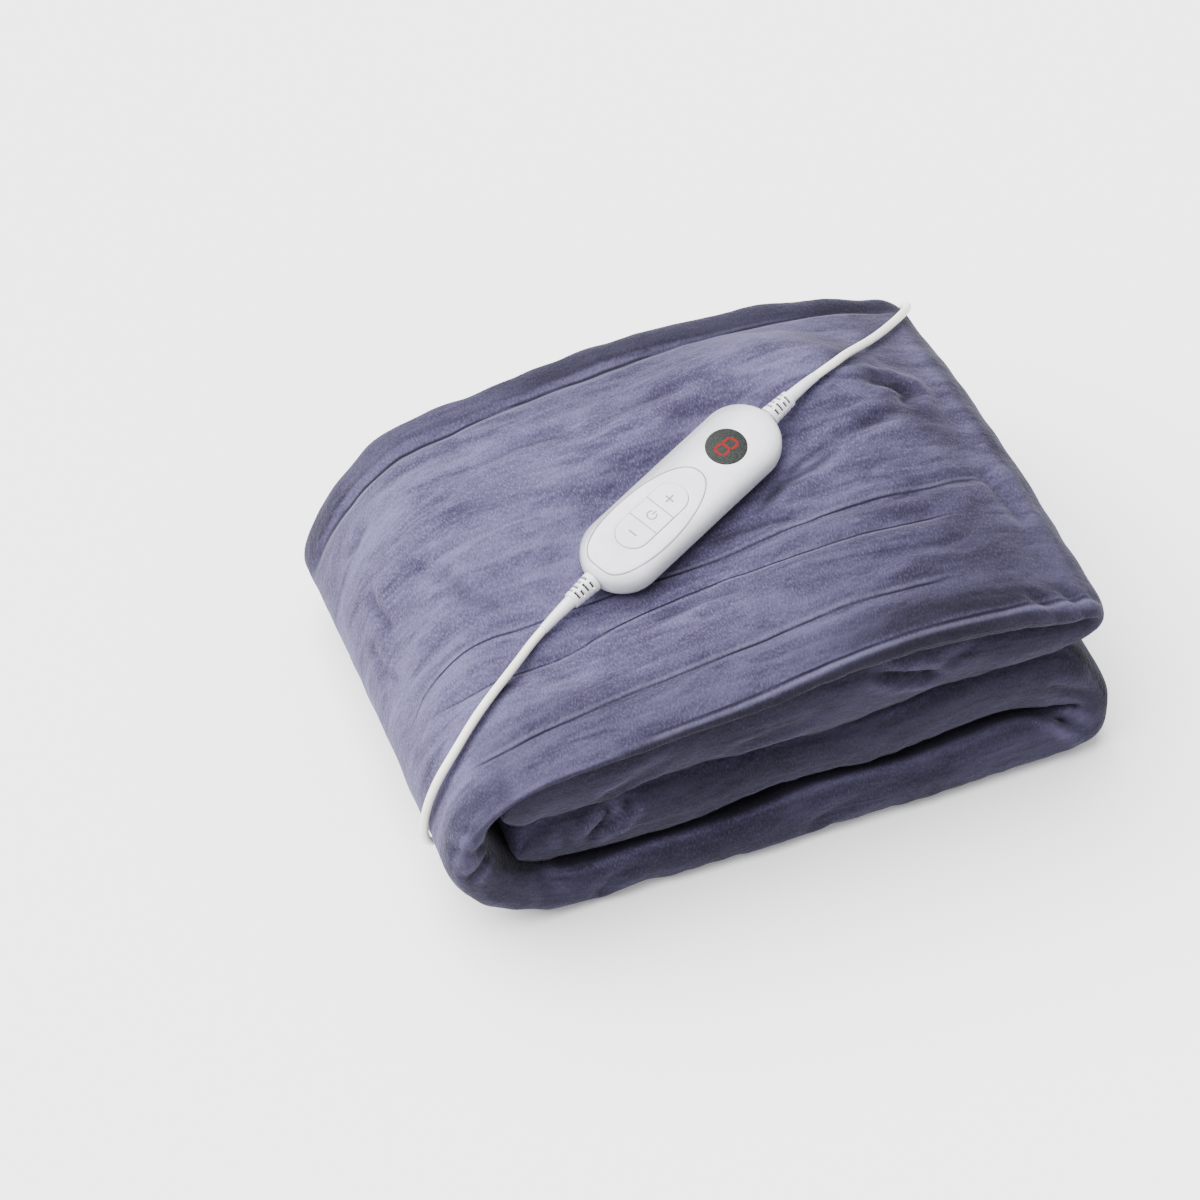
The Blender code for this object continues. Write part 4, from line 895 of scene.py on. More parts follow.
def pressed_creases(points):
    """How far the creases move the cloth, the painted shade in them and the painted light beside them."""
    shift = np.zeros(len(points))
    dark = np.zeros(len(points))
    light = np.zeros(len(points))
    for depth, half_width, ridge, shade, line in CREASES:
        distance, share = polyline_distance(points, line)
        ends = steps_of(np.minimum(share, 1.0 - share) * 4.0)
        shift -= ends * depth * np.exp(-(distance / half_width) ** 2)
        shift += ends * depth * ridge * np.exp(-((distance - 1.9 * half_width) / half_width) ** 2)
        dark = np.maximum(dark, shade * ends * np.exp(-(distance / (0.80 * half_width)) ** 2))
        beside = (distance - 2.0 * half_width) / half_width
        light = np.maximum(light, CREASE_LIGHT * shade * ends * np.exp(-beside ** 2))
    return shift, dark, light


def trough(away):
    """Cross-section of a sewn trough, from 1 in its middle to 0 beside it."""
    return np.exp(-np.abs(away) ** 1.6)


def sewn_channels(x, distance, arc, hem, shown):
    """Signed distance from the nearest seam, how firmly it is sewn, its trough and the swell between."""
    seam = np.full(len(x), 0.05)
    sewn = np.zeros(len(x))
    groove = np.zeros(len(x))
    swell = np.zeros(len(x))
    before = np.zeros(len(x))
    for number, (depth, half_width, breadth, first, last, line) in enumerate(CHANNELS):
        place = channel_place(line, x)
        away = distance - place
        there = steps_of((x - first) / CHANNEL_END) * steps_of((last - x) / CHANNEL_END)
        value = away / breadth * (1.0 if number % 2 == 0 else -1.0)
        nearer = np.abs(value) < np.abs(seam)
        seam = np.where(nearer, value, seam)
        sewn = np.where(nearer, there * shown, sewn)
        groove = np.maximum(groove, there * depth * trough(away / half_width))
        share = np.clip((distance - before) / np.maximum(place - before, 0.001), 0.0, 1.0)
        width = np.minimum(1.0, (place - before) / FULL_SWELL_WIDTH)
        if number:
            swell = np.maximum(swell, width * np.sin(math.pi * share) ** 0.7)
        before = place
    up_edge = (channel_place(HEM_LINE, x) - arc) / HEM_BREADTH
    nearer = np.abs(up_edge) < np.abs(seam)
    seam = np.where(nearer, up_edge, seam)
    sewn = np.where(nearer, hem, sewn)
    groove = np.maximum(groove, hem * HEM_DEPTH * trough(up_edge / HEM_GROOVE))
    return seam, sewn, groove, swell


# Painted shade in each region, and painted light in two others.
PAINTED_SHADE = {"front": 0.79, "front_high": 0.10, "front_low": -0.10, "facing_down": 0.97, "inner": 0.90,
            "right": 0.80, "right_low": 0.17, "front_right": 0.60, "hem_band": 0.80, "near_edge": 0.44,
            "left_lip": 0.62, "rear_edge": 0.50, "rear": 0.30}
PAINTED_LIGHT = {"hem_strip": 0.05, "left_top": 0.36}


def rises(value, start, width):
    """0 up to a place and 1 from a width beyond it; a negative width turns it round."""
    return steps_of((value - start) / width)


def painted_shade_and_light(points, normals, arc, hem, outer, distance):
    """Painted shade, up to 1, and painted light, down to -1: by place and by the way the cloth faces."""
    x, y, z = points.T
    facing_x, facing_y, facing_z = normals.T
    front = PAINTED_SHADE["front"] + PAINTED_SHADE["front_high"] * rises(z, 0.108, 0.01)
    front += PAINTED_SHADE["front_low"] * rises(z, 0.040, -0.02)
    front *= rises(facing_y, -0.15, -0.55) * rises(y, -0.100, -0.015)
    down = rises(facing_z, -0.02, -0.5) * rises(y, -0.080, -0.03) * rises(z, 0.012, 0.02)
    inner = (1.0 - outer) * rises(distance, 0.006, 0.006) * rises(z, 0.004, 0.004)
    right = PAINTED_SHADE["right"] + PAINTED_SHADE["right_low"] * rises(z, 0.085, -0.02)
    right *= rises(facing_x, 0.1, 0.5)
    front_right = rises(y, 0.08, -0.18) * rises(x, -0.09, 0.20)
    seam_arc = channel_place(HEM_LINE, x)
    hem_band = hem * rises(arc, seam_arc, 0.002) * rises(arc, 0.052, -0.034)
    hem_band *= 0.50 + 0.50 * rises(x, -0.03, 0.10)
    near_edge = outer * rises(distance, 0.064, -0.040) * rises(z, 0.095, 0.01)
    left_lip = rises(x, -0.135, -0.02) * rises(y, -0.104, -0.014)
    rear = PAINTED_SHADE["rear_edge"] * rises(y, 0.110, 0.003) + PAINTED_SHADE["rear"] * rises(y, 0.05, 0.05)
    rear *= 0.7 + 0.3 * rises(x, -0.09, 0.06)
    dark = np.maximum.reduce([
        front, right, rear, PAINTED_SHADE["facing_down"] * down, PAINTED_SHADE["inner"] * inner,
        PAINTED_SHADE["front_right"] * front_right, PAINTED_SHADE["hem_band"] * hem_band,
        PAINTED_SHADE["near_edge"] * near_edge, PAINTED_SHADE["left_lip"] * left_lip])
    hem_strip = hem * rises(arc, seam_arc, -0.0015) * rises(x, 0.075, 0.03) * outer * rises(arc, 0.0, 0.002)
    left_top = rises(x, 0.00, -0.10) * rises(y, -0.06, 0.05) * rises(y, 0.105, -0.05) * rises(z, 0.085, 0.03)
    light = PAINTED_LIGHT["hem_strip"] * hem_strip + PAINTED_LIGHT["left_top"] * left_top
    return np.clip(dark - light, -1.0, 1.0)


def end_cap(station, start):
    """Triangles that close the strip at its first or last loop, between its outer and inner rows."""
    outer_count = int(station.outer.sum())
    last = start + len(station.params) - 1
    outer_row = list(range(start, start + outer_count))
    inner_row = [start] + list(range(last, last - (len(station.params) - outer_count), -1)) + [outer_row[-1]]
    triangles = []
    i = j = 0
    while i < len(outer_row) - 1 or j < len(inner_row) - 1:
        if j >= len(inner_row) - 1 or (i < len(outer_row) - 1 and i <= j):
            i += 1
            triangle = (outer_row[i - 1], outer_row[i], inner_row[j])
        else:
            j += 1
            triangle = (outer_row[i], inner_row[j], inner_row[j - 1])
        if len(set(triangle)) == 3:
            triangles.append(triangle)
    return triangles


def strip_faces(stations):
    faces = []
    starts = [0]
    for station in stations:
        starts.append(starts[-1] + len(station.params))
    for number in range(len(stations) - 1):
        zip_loops(stations[number], stations[number + 1], starts[number], starts[number + 1], faces)
    return faces + end_cap(stations[0], 0) + end_cap(stations[-1], starts[-2])


def ways_along(stations):
    """Way of each station along the strip, measured on its outer side."""
    middles = np.array([station.points[len(station.points) // 4] for station in stations])
    steps = np.linalg.norm(np.diff(middles, axis=0), axis=1)
    return np.concatenate([[0.0], np.cumsum(steps)])


def loose_waves(points, distance, outer):
    """The soft unevenness of the cloth where it can be seen."""
    seen = np.where((points[:, 1] < -0.085) | (points[:, 1] > 0.11) | (outer > 0.5))[0]
    total = np.zeros(len(points))
    for height, scale, seed, stretch, at_edge in WAVES:
        wave = height * noise_field(points[seen], scale, seed, stretch)
        if at_edge:
            wave *= 0.4 + np.exp(-distance[seen] / EDGE_PULL)
        total[seen] += wave
    return total


def held_down(points, shown, outer, shift, dark):
    """The cloth stays under the controller and is pressed in a little by the cords, with painted shadow beside
    the cords and round the housing.
    """
    x, y, z = points.T
    held = 1.0 - steps_of((axis_distance(x, y, 0.054) - 0.026) / 0.016)
    shift = np.where((shown > 0.0) & (z > 0.09), shift * (1.0 - held) - PRESSED_BY_HOUSING * held, shift)
    for heading, route in ((1, MAINS_ROUTE[:7]), (-1, BLANKET_ROUTE[:9])):
        line = [tuple(relief_tip(heading)[0])] + list(route)
        pressed = 1.0 - steps_of((polyline_distance(points, line)[0] - 0.002) / 0.006)
        below = np.minimum(shift, shift * (1.0 - pressed) - PRESSED_BY_CORD * pressed)
        shift = np.where(outer > 0.5, below, shift)
        # painted shadow beside the cord, on its front right
        beside = polyline_distance(points + SHADOW_SIDE, line)[0]
        dark = np.maximum(dark, CORD_SHADE * outer * np.exp(-(beside / 0.0038) ** 4))
    # painted shadow round the housing
    round_housing = np.maximum(beside_housing(x - 0.0006, y + 0.0016), 0.0)
    by_housing = outer * (z > 0.09) * np.exp(-(round_housing / 0.0020) ** 2)
    dark = np.maximum(dark, HOUSING_SHADE * by_housing)
    return shift, dark


def make_blanket():
    stations = strip_stations()
    for station in stations:
        station.build()
    points, distance, outer, arc = (
        np.concatenate([getattr(station, name) for station in stations])
        for name in ("points", "distances", "outer", "arcs"))
    counts = [len(station.params) for station in stations]
    along = np.repeat(ways_along(stations), counts)
    shown, hem = (np.repeat([getattr(station, name) for station in stations], counts) * outer
                  for name in ("shown", "hem"))

    data = bpy.data.meshes.new("folded_throw")
    data.from_pydata(points.tolist(), [], strip_faces(stations))
    data.update()
    mesh = bmesh.new()
    mesh.from_mesh(data)
    bmesh.ops.recalc_face_normals(mesh, faces=mesh.faces)
    mesh.to_mesh(data)
    mesh.free()
    normals = np.zeros(len(points) * 3)
    data.vertex_normals.foreach_get("vector", normals)
    normals = normals.reshape(-1, 3)

    outer_arc = np.where(outer > 0.5, arc, 1.0)
    seam, sewn, groove, swell = sewn_channels(points[:, 0], distance, outer_arc, hem, shown)
    creased, dark, light = pressed_creases(points)
    shift = SWELL_HEIGHT * swell * shown - groove * np.maximum(shown, hem) + creased
    shift += loose_waves(points, distance, outer)
    shift, dark = held_down(points, shown, outer, shift, dark)

    # nothing goes below the surface, and layers do not push through each other
    shift = np.where(shift > 0, shift * np.where(outer < 0.5, INNER_GIVE, 1.0), shift)
    moved = points + normals * shift[:, None]
    moved[:, 2] = np.maximum(moved[:, 2], 0.0)
    data.vertices.foreach_set("co", moved.ravel())
    data.update()

    # the shade attribute: painted shade and painted light by place and facing, and painted shade in creases,
    # beside the cords and round the housing
    nap_and_painted_shade = painted_shade_and_light(points, normals, np.abs(arc), hem, outer, distance) - light
    for name, values in (("seam", seam), ("sewn", sewn), ("shade", np.maximum(nap_and_painted_shade, dark))):
        data.attributes.new(name, "FLOAT", "POINT").data.foreach_set("value", values)
    cloth = data.attributes.new("cloth", "FLOAT_VECTOR", "POINT")
    cloth.data.foreach_set("vector", np.stack([along, arc, outer * 0.1], axis=1).ravel())
    data.shade_smooth()
    made = bpy.data.objects.new("folded_throw", data)
    data.materials.append(PLUSH)
    scene.collection.objects.link(made)
    return made


# =============================================================== the controller
# Distance inside the housing's outline and height above its parting plane.
COVER_PROFILE = ((0.0000, 0.0022), (0.0003, 0.0041), (0.0009, 0.0057), (0.0019, 0.0071), (0.0033, 0.0082),
                 (0.0050, 0.0089), (0.0075, 0.0093), (0.0110, 0.0095), (0.0160, 0.0096), (0.0200, 0.0096))
BASE_PROFILE = ((0.0000, 0.0020), (0.0003, 0.0038), (0.0010, 0.0055), (0.0022, 0.0070), (0.0038, 0.0080),
                (0.0060, 0.0085), (0.0150, 0.0085))
PANEL_CENTRE = -0.0240
PANEL_HALF_LENGTH = 0.0378
PANEL_HALF_WIDTH = 0.0174
PANEL_EGG = 0.10
PANEL_SLIT = 0.00050             # air round the panel, which reads as a thin grey line
KEY_CENTRE = -0.0220
KEY_ROW_LENGTH = 0.0460
KEY_ROW_WIDTH = 0.0185
KEY_MIDDLE_LENGTH = 0.0127
KEY_SLIT = 0.0002
KEY_PROUD = 0.0006
DISPLAY_CENTRE = 0.0340
DISPLAY_RADIUS = 0.0109
SIGN_WIDTH = 0.0008
POWER_LINE_WIDTH = 0.0007
PRINT_LIFT = 0.00005
CROSS_LIFT = 0.00008             # the plus sign's second stroke lies over its first
PRINT_SUNK = 0.0001
LINE_ROOT = -0.0003
LINE_LIFT = -0.00005
POWER_RADII = (0.0021, 0.0028)
POWER_OPENING = math.radians(32.0)
POWER_STEPS = 40
DIGIT_HALF_WIDTH = 0.0031
DIGIT_HALF_HEIGHT = 0.0056
DIGIT_GAP = 0.0003
DIGIT_LEAN = 0.10
SEGMENT_WIDTH = 0.0013
SEGMENT_POINT = 0.0006
SEGMENT_LIFT = 0.00006
WINDOW_TOP = 0.00975
WINDOW_FLOOR = 0.0084
CUTTER_TOP = 0.02
CUTTER_REACH = 0.004
RIM_STEPS = ((0.0, 0.00045), (0.008, 0.00020), (0.022, 0.00006), (0.05, 0.0))    # share inwards, drop
FACE_STEPS = (0.15, 0.4, 0.7)
LAST_FACE_STEP = 0.96


def crown_height(x, y):
    """Height of the cover's soft crown at a place on the housing."""
    straight = (HOUSING_LENGTH - HOUSING_WIDTH) / 2
    inside = HOUSING_WIDTH / 2 - math.hypot(max(0.0, abs(x) - straight), y)
    return float(np.interp(inside, [row[0] for row in COVER_PROFILE], [row[1] for row in COVER_PROFILE]))


def stadium(length, width, inset, steps=28):
    radius = width / 2 - inset
    reach = (length - width) / 2
    points = []
    for side in (1, -1):
        for k in range(steps + 1):
            angle = -0.5 * math.pi + math.pi * k / steps
            points.append((side * (reach + radius * math.cos(angle)), side * radius * math.sin(angle)))
    return points


def egg(grow=0.0, count=112):
    points = []
    for k in range(count):
        angle = 2 * math.pi * k / count
        c, s = math.cos(angle), math.sin(angle)
        bulge = math.copysign(abs(s) ** (0.76 + 0.10 * c), s) * (1.0 - PANEL_EGG * c)
        points.append((PANEL_CENTRE + (PANEL_HALF_LENGTH + grow) * c, (PANEL_HALF_WIDTH + grow) * bulge))
    return points


def key_row(grow=0.0, count=112):
    """Outline of the opening for the three keys, met from its middle at even angles."""
    radius = KEY_ROW_WIDTH / 2 + grow
    straight = (KEY_ROW_LENGTH - KEY_ROW_WIDTH) / 2
    points = []
    for k in range(count):
        angle = 2 * math.pi * k / count
        c, s = math.cos(angle), math.sin(angle)
        reach = radius / abs(s) if s else 1.0
        if abs(reach * c) > straight:
            end = math.copysign(straight, c)
            reach = end * c + math.sqrt(max(0.0, radius ** 2 - (end * s) ** 2))
        points.append((KEY_CENTRE + reach * c, reach * s))
    return points


def disc(radius, centre=0.0, count=96):
    turns = [2 * math.pi * k / count for k in range(count)]
    return [(centre + radius * math.cos(turn), radius * math.sin(turn)) for turn in turns]


def key_outline(start, end, round_start, round_end, steps=22):
    """A key: straight across where it meets its neighbour, round at its free end."""
    radius = KEY_ROW_WIDTH / 2
    points = []
    for edge, heading, rounded in ((end, 1, round_end), (start, -1, round_start)):
        for k in range(steps + 1):
            angle = math.pi * k / steps
            if rounded:
                reach = edge + heading * radius * (math.sin(angle) - 1.0)
                points.append((reach, -heading * radius * math.cos(angle)))
            else:
                points.append((edge, heading * radius * (2.0 * k / steps - 1.0)))
    return points


def centre_of(outline):
    return sum(x for x, y in outline) / len(outline), sum(y for x, y in outline) / len(outline)


def lofted(rings, closed=True):
    """A mesh through rings of points: with an end face on both, or closed round into a ring."""
    mesh = bmesh.new()
    made = [[mesh.verts.new(point) for point in ring] for ring in rings]
    for ring, following in zip(made, made[1:] if closed else made[1:] + made[:1]):
        for k in range(len(ring)):
            n = (k + 1) % len(ring)
            mesh.faces.new((ring[k], ring[n], following[n], following[k]))
    if closed:
        mesh.faces.new(list(reversed(made[0])))
        mesh.faces.new(made[-1])
    bmesh.ops.recalc_face_normals(mesh, faces=mesh.faces)
    return mesh


def on_controller(name, mesh, material, body="root", angle=math.radians(35)):
    made = finish_mesh(name, mesh, material, angle)
    made.matrix_world = CONTROLLER
    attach(made, body)
    return made


def draped(outline, floor, proud, inner=None):
    """A closed thin piece let into the cover, whose face follows the crown a little above it."""
    target = inner or [centre_of(outline)] * len(outline)
    shares = list(RIM_STEPS) + [(share, 0.0) for share in FACE_STEPS]
    if inner:
        shares += [(1.0 - share, drop) for share, drop in reversed(RIM_STEPS)]
    else:
        shares.append((LAST_FACE_STEP, 0.0))
    rings = [[(x, y, floor) for x, y in outline]]
    for share, drop in shares:
        ring = []
        for (x, y), (tx, ty) in zip(outline, target):
            px, py = x + (tx - x) * share, y + (ty - y) * share
            ring.append((px, py, crown_height(px, py) + proud - drop))
        rings.append(ring)
    if inner:
        rings.append([(x, y, floor) for x, y in inner])
    return lofted(rings, not inner)


def cut_shell(mesh, cutters, name, material):
    """A shell with pockets cut into it, as a plain mesh."""
    body = finish_mesh(name + "_blank", mesh, material)
    tools = []
    for number, cutter in enumerate(cutters):
        tool = finish_mesh("%s_tool_%d" % (name, number), cutter, material)
        step = body.modifiers.new("pocket_%d" % number, "BOOLEAN")
        step.operation = "DIFFERENCE"
        step.object = tool
        tools.append(tool)
    bpy.context.view_layer.update()
    evaluated = body.evaluated_get(bpy.context.evaluated_depsgraph_get())
    made = bmesh.new()
    made.from_mesh(bpy.data.meshes.new_from_object(evaluated))
    for spare in (body, *tools):
        bpy.data.objects.remove(spare)
    return on_controller(name, made, material, "root", math.radians(30))


def socket(heading):
    """The round opening that holds the root of a strain relief."""
    inner = HOUSING_LENGTH / 2 - RELIEF_ROOT - PART_GAP
    outside = HOUSING_LENGTH / 2 + CUTTER_REACH
    circle = disc(RELIEF_NECK_RADIUS + SOCKET_AIR, count=RELIEF_SIDES)
    return lofted([[(heading * x, y, z) for y, z in circle] for x in (inner, outside)])


def bar(name, surface, start, end, width, material, body, lift, slant=0.0):
    """A thin raised print between two places, pointed at its ends where it is a lit segment."""
    (x0, y0), (x1, y1) = start, end
    length = math.hypot(x1 - x0, y1 - y0)
    tx, ty = (x1 - x0) / length, (y1 - y0) / length
    half = width / 2
    outline = [(slant, half), (length - slant, half), (length - slant, -half), (slant, -half)]
    if slant:
        outline = [(0, 0), *outline[:2], (length, 0), *outline[2:]]
    corners = []
    for along, side in outline:
        x, y = x0 + tx * along - ty * side, y0 + ty * along + tx * side
        corners.append((x, y, surface(x, y)))
    low = [(x, y, z - PRINT_SUNK) for x, y, z in corners]
    high = [(x, y, z + lift) for x, y, z in corners]
    return on_controller(name, lofted([low, high]), material, body)


def line_round(name, outline, width, lift, material):
    """A thin line along a closed outline, following the cover's crown."""
    middle = centre_of(outline)
    rings = []
    for reach, height in ((0.0, LINE_ROOT), (0.0, lift), (width, lift), (width, LINE_ROOT)):
        ring = []
        for x, y in outline:
            away = math.hypot(x - middle[0], y - middle[1])
            grow = 1.0 + reach / away
            px, py = middle[0] + (x - middle[0]) * grow, middle[1] + (y - middle[1]) * grow
            ring.append((px, py, crown_height(px, py) + height))
        rings.append(ring)
    return on_controller(name, lofted(rings, False), material)


def power_ring(surface):
    """An almost closed ring, open towards the display."""
    inner, outer = POWER_RADII
    rings = []
    for k in range(POWER_STEPS + 1):
        angle = POWER_OPENING + 2 * (math.pi - POWER_OPENING) * k / POWER_STEPS
        c, s = math.cos(angle), math.sin(angle)
        low = [(KEY_CENTRE + radius * c, radius * s) for radius in (inner, outer)]
        ring = [(x, y, surface(x, y) - PRINT_SUNK) for x, y in low]
        ring += [(x, y, surface(x, y) + PRINT_LIFT) for x, y in reversed(low)]
        rings.append(ring)
    return on_controller("power_ring", lofted(rings), PRINT, "power_button")


def make_digit(height):
    """Seven lit segments on the window, read with the display end upwards."""
    half_wide, tall, gap = DIGIT_HALF_WIDTH, DIGIT_HALF_HEIGHT, DIGIT_GAP

    def place(right, up):
        return DISPLAY_CENTRE + up, -(right + DIGIT_LEAN * up)
    corners = {"a": ((-half_wide + gap, tall), (half_wide - gap, tall)),
               "b": ((half_wide, tall - gap), (half_wide, gap)),
               "c": ((half_wide, -gap), (half_wide, -tall + gap)),
               "d": ((-half_wide + gap, -tall), (half_wide - gap, -tall)),
               "e": ((-half_wide, -gap), (-half_wide, -tall + gap)),
               "f": ((-half_wide, tall - gap), (-half_wide, gap)),
               "g": ((-half_wide + gap, 0.0), (half_wide - gap, 0.0))}
    for letter, (start, end) in corners.items():
        bar("segment_" + letter, lambda x, y: height, place(*start), place(*end), SEGMENT_WIDTH, GLOW,
            "root", SEGMENT_LIFT, SEGMENT_POINT)


RELIEF_GROOVES = ((0.0030, 0.0046), (0.0062, 0.0078), (0.0094, 0.0110), (0.0123, 0.0138))
RELIEF_SLOTS = ((-62, -18), (14, 58))    # where each groove is deep, in degrees from the top
SLOT_TURN = 24.0                 # by which every other groove's slots are turned on
UNDERSIDE = 150.0                # degrees from the top beyond which a groove is deep all over
SLOT_DEPTH = 0.0012
GROOVE_DEPTH = 0.0003
RELIEF_SIDES = 48
RELIEF_NECK_RADIUS = 0.0040      # inside the housing
SOCKET_AIR = 0.0004
RIBBED_RADII = (0.0057, 0.0045)
TAIL_RADII = (0.0036, 0.00255)
TAIL_STEPS = 10
GROOVE_EDGE = 0.0002


def relief_radius(out):
    """Radius of the strain relief at a distance outside the housing."""
    if out <= RELIEF_RIBBED:
        start, end = RIBBED_RADII
        return start + (end - start) * max(0.0, out) / RELIEF_RIBBED
    start, end = TAIL_RADII
    return start + (end - start) * ((out - RELIEF_RIBBED) / RELIEF_TAIL) ** 0.8


def from_top(turn):
    """Degrees from the top of the sleeve, between -180 and 180."""
    return (360.0 * turn / RELIEF_SIDES + 180.0) % 360.0 - 180.0


def in_slot(groove, degrees):
    turn = SLOT_TURN * (groove % 2)
    return any(low + turn / 2 < degrees < high + turn for low, high in RELIEF_SLOTS)


def make_relief(name, heading, replaced):
    """Tapered sleeve: short slots alternate round its ribbed part, then a smooth tail bends to the cloth."""
    places = [-RELIEF_ROOT, 0.0003, 0.0004, 0.0012]
    for low, high in RELIEF_GROOVES:
        places += [low, low + GROOVE_EDGE, high - GROOVE_EDGE, high]
    places += [RELIEF_RIBBED - 0.0008, RELIEF_RIBBED, RELIEF_RIBBED + 0.0003]
    places += [RELIEF_RIBBED + RELIEF_TAIL * k / TAIL_STEPS for k in range(1, TAIL_STEPS + 1)]
    places.append(RELIEF_RIBBED + RELIEF_TAIL + 0.0006)
    mesh = bmesh.new()
    rings, grooves = [], []
    for out in places:
        radius = RELIEF_NECK_RADIUS if out < 0.00035 else relief_radius(out)
        groove = next((n for n, (low, high) in enumerate(RELIEF_GROOVES) if low < out < high), None)
        down_tail = max(0.0, out - RELIEF_RIBBED) / RELIEF_TAIL
        ring = []
        for k in range(RELIEF_SIDES):
            angle = 2 * math.pi * k / RELIEF_SIDES
            degrees = from_top(k)
            sunk = 0.0
            if groove is not None:
                deep = in_slot(groove, degrees) or abs(degrees) > UNDERSIDE
                sunk = SLOT_DEPTH if deep else GROOVE_DEPTH
            reach = radius - sunk
            ring.append(mesh.verts.new((heading * (HOUSING_LENGTH / 2 + out), reach * math.sin(angle),
                                        reach * math.cos(angle) - RELIEF_DROOP * down_tail ** 2)))
        rings.append(ring)
        grooves.append(groove)
    for number, (ring, following) in enumerate(zip(rings, rings[1:])):
        in_groove = grooves[number] is not None and grooves[number + 1] is not None
        for k in range(RELIEF_SIDES):
            n = (k + 1) % RELIEF_SIDES
            face = mesh.faces.new((ring[k], ring[n], following[n], following[k]))
            if in_groove and in_slot(grooves[number], from_top(k + 0.5)):
                face.material_index = 1
    mesh.faces.new(list(reversed(rings[0])))
    mesh.faces.new(rings[-1])
    bmesh.ops.recalc_face_normals(mesh, faces=mesh.faces)
    made = on_controller(name, mesh, SHELL)
    made.data.materials.append(GROOVE)
    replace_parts(made, replaced)


def housing_rings(profile, heading):
    """Rings from the parting plane outwards along an edge profile."""
    rings = [[(x, y, heading * PART_GAP / 2) for x, y in stadium(HOUSING_LENGTH, HOUSING_WIDTH, 0.0)]]
    rings += [[(x, y, heading * height) for x, y in stadium(HOUSING_LENGTH, HOUSING_WIDTH, inset)]
              for inset, height in profile]
    return lofted(rings)


def make_shells():
    """Both shells, the upper one with pockets for the window, the panel and the keys."""
    pockets = [lofted([[(x, y, z) for x, y in points] for z in (floor, CUTTER_TOP)])
               for points, floor in ((disc(DISPLAY_RADIUS + 0.00015, DISPLAY_CENTRE), 0.0082),
                                     (egg(PANEL_SLIT), 0.0074), (key_row(KEY_SLIT), 0.0064))]
    cutters = [socket(1), socket(-1)] + pockets
    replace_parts(cut_shell(housing_rings(COVER_PROFILE, 1), cutters, "upper_shell", COVER), "controller_cover")
    cutters = [socket(1), socket(-1)]
    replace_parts(cut_shell(housing_rings(BASE_PROFILE, -1), cutters, "lower_shell", SHELL), "controller_base")


def make_keys():
    row_start, row_end = KEY_CENTRE - KEY_ROW_LENGTH / 2, KEY_CENTRE + KEY_ROW_LENGTH / 2
    middle_start, middle_end = KEY_CENTRE - KEY_MIDDLE_LENGTH / 2, KEY_CENTRE + KEY_MIDDLE_LENGTH / 2
    for word, start, end, round_start, round_end in (
            ("minus", row_start, middle_start - KEY_SLIT, True, False),
            ("power", middle_start + KEY_SLIT, middle_end - KEY_SLIT, False, False),
            ("plus", middle_end + KEY_SLIT, row_end, False, True)):
        shape = draped(key_outline(start, end, round_start, round_end), 0.0080, KEY_PROUD)
        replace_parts(on_controller("button_" + word, shape, FILM, word + "_button"), "key_" + word)

    def key_face(x, y):
        return crown_height(x, y) + KEY_PROUD
    for name, start, end, width, word, lift in (
            ("minus_sign", (-0.0363, 0.0027), (-0.0363, -0.0027), SIGN_WIDTH, "minus", PRINT_LIFT),
            ("plus_sign_across", (-0.0088, 0.0028), (-0.0088, -0.0028), SIGN_WIDTH, "plus", PRINT_LIFT),
            ("plus_sign_along", (-0.0116, 0.0), (-0.0060, 0.0), SIGN_WIDTH, "plus", CROSS_LIFT),
            ("power_line", (KEY_CENTRE + 0.0004, 0.0), (KEY_CENTRE + 0.0034, 0.0), POWER_LINE_WIDTH,
             "power", PRINT_LIFT)):
        bar(name, key_face, start, end, width, PRINT, word + "_button", lift)
    power_ring(key_face)


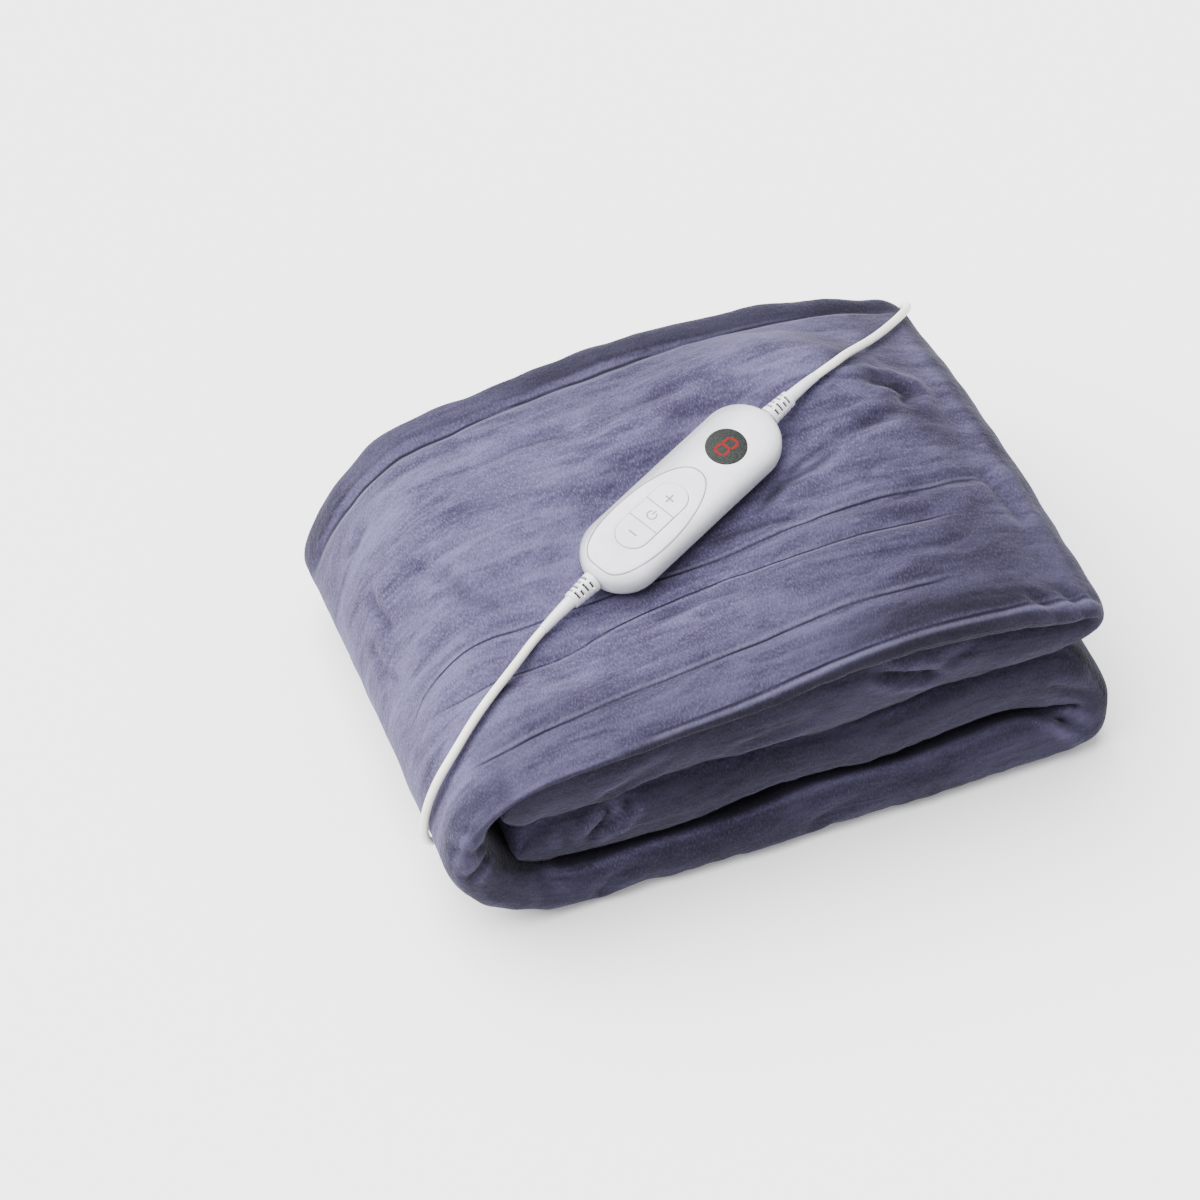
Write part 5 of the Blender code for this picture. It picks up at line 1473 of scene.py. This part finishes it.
def make_controller():
    make_shells()
    make_relief("sleeve_upper", 1, "relief_upper")
    make_relief("sleeve_lower", -1, "relief_lower")
    panel = draped(egg(), 0.0076, 0.00012, key_row(KEY_SLIT))
    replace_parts(on_controller("film_panel", panel, FILM), "key_panel")
    line_round("panel_line", egg(), PANEL_SLIT, LINE_LIFT, PRINT)
    make_keys()
    lens = [[(x, y, z) for x, y in disc(DISPLAY_RADIUS - inset, DISPLAY_CENTRE)]
            for inset, z in ((0.0, WINDOW_FLOOR), (0.0, WINDOW_TOP - 0.0003), (0.0001, WINDOW_TOP - 0.0001),
                             (0.0004, WINDOW_TOP))]
    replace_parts(on_controller("smoked_lens", lofted(lens), WINDOW), "display_window")
    make_digit(WINDOW_TOP)


def give_materials():
    for name, material in (("mains_plug", SHELL), ("plug_pin_1", STEEL), ("plug_pin_2", STEEL)):
        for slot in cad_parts[name].material_slots:
            slot.material = material


# =============================================================== floor and light
FLOOR_HALF_SIZE = 6.0
ROOM_LIGHT = 1.0
KEY_LIGHT = 11.5
KEY_LIGHT_SOFTNESS = math.radians(80.0)
KEY_LIGHT_FROM = Vector((-0.46, 0.26, 1.0))    # from the rear left, well above the throw


def make_floor():
    mesh = bmesh.new()
    bmesh.ops.create_grid(mesh, x_segments=2, y_segments=2, size=FLOOR_HALF_SIZE)
    tree = Tree("pale_floor")
    cloud = tree.noise(tree.place(), 0.8, 2.0, 0.5)
    tree.set(tree.shader, Base_Color=tree.mix(cloud, rgb(246, 246, 247), rgb(251, 251, 251)), Roughness=0.9,
             Emission_Color=(1.0, 1.0, 1.0, 1.0), Emission_Strength=0.10)
    finish_mesh("floor", mesh, tree.material)


def make_lights():
    world = bpy.data.worlds.new("studio")
    scene.world = world
    world.use_nodes = True
    background = world.node_tree.nodes["Background"]
    background.inputs["Color"].default_value = (1.0, 1.0, 1.0, 1.0)
    background.inputs["Strength"].default_value = ROOM_LIGHT
    sun = bpy.data.lights.new("key_light", "SUN")
    sun.energy = KEY_LIGHT
    sun.angle = KEY_LIGHT_SOFTNESS
    key = bpy.data.objects.new("key_light", sun)
    scene.collection.objects.link(key)
    key.matrix_world = KEY_LIGHT_FROM.to_track_quat("Z", "Y").to_matrix().to_4x4()


# =============================================================== all together
make_camera()
make_lights()
make_floor()
mains_lead, mains_exit = make_mains_lead()
throw_lead, throw_exit = make_blanket_lead()
tie = make_tie()
give_materials()
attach(mains_lead, "root")
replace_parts(mains_lead, "mains_cord", "mains_coil", "mains_tail")
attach(throw_lead, "root")
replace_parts(throw_lead, "blanket_lead")
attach(tie, "root")

throw = make_blanket()
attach(throw, "root")
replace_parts(throw, "blanket")
make_controller()
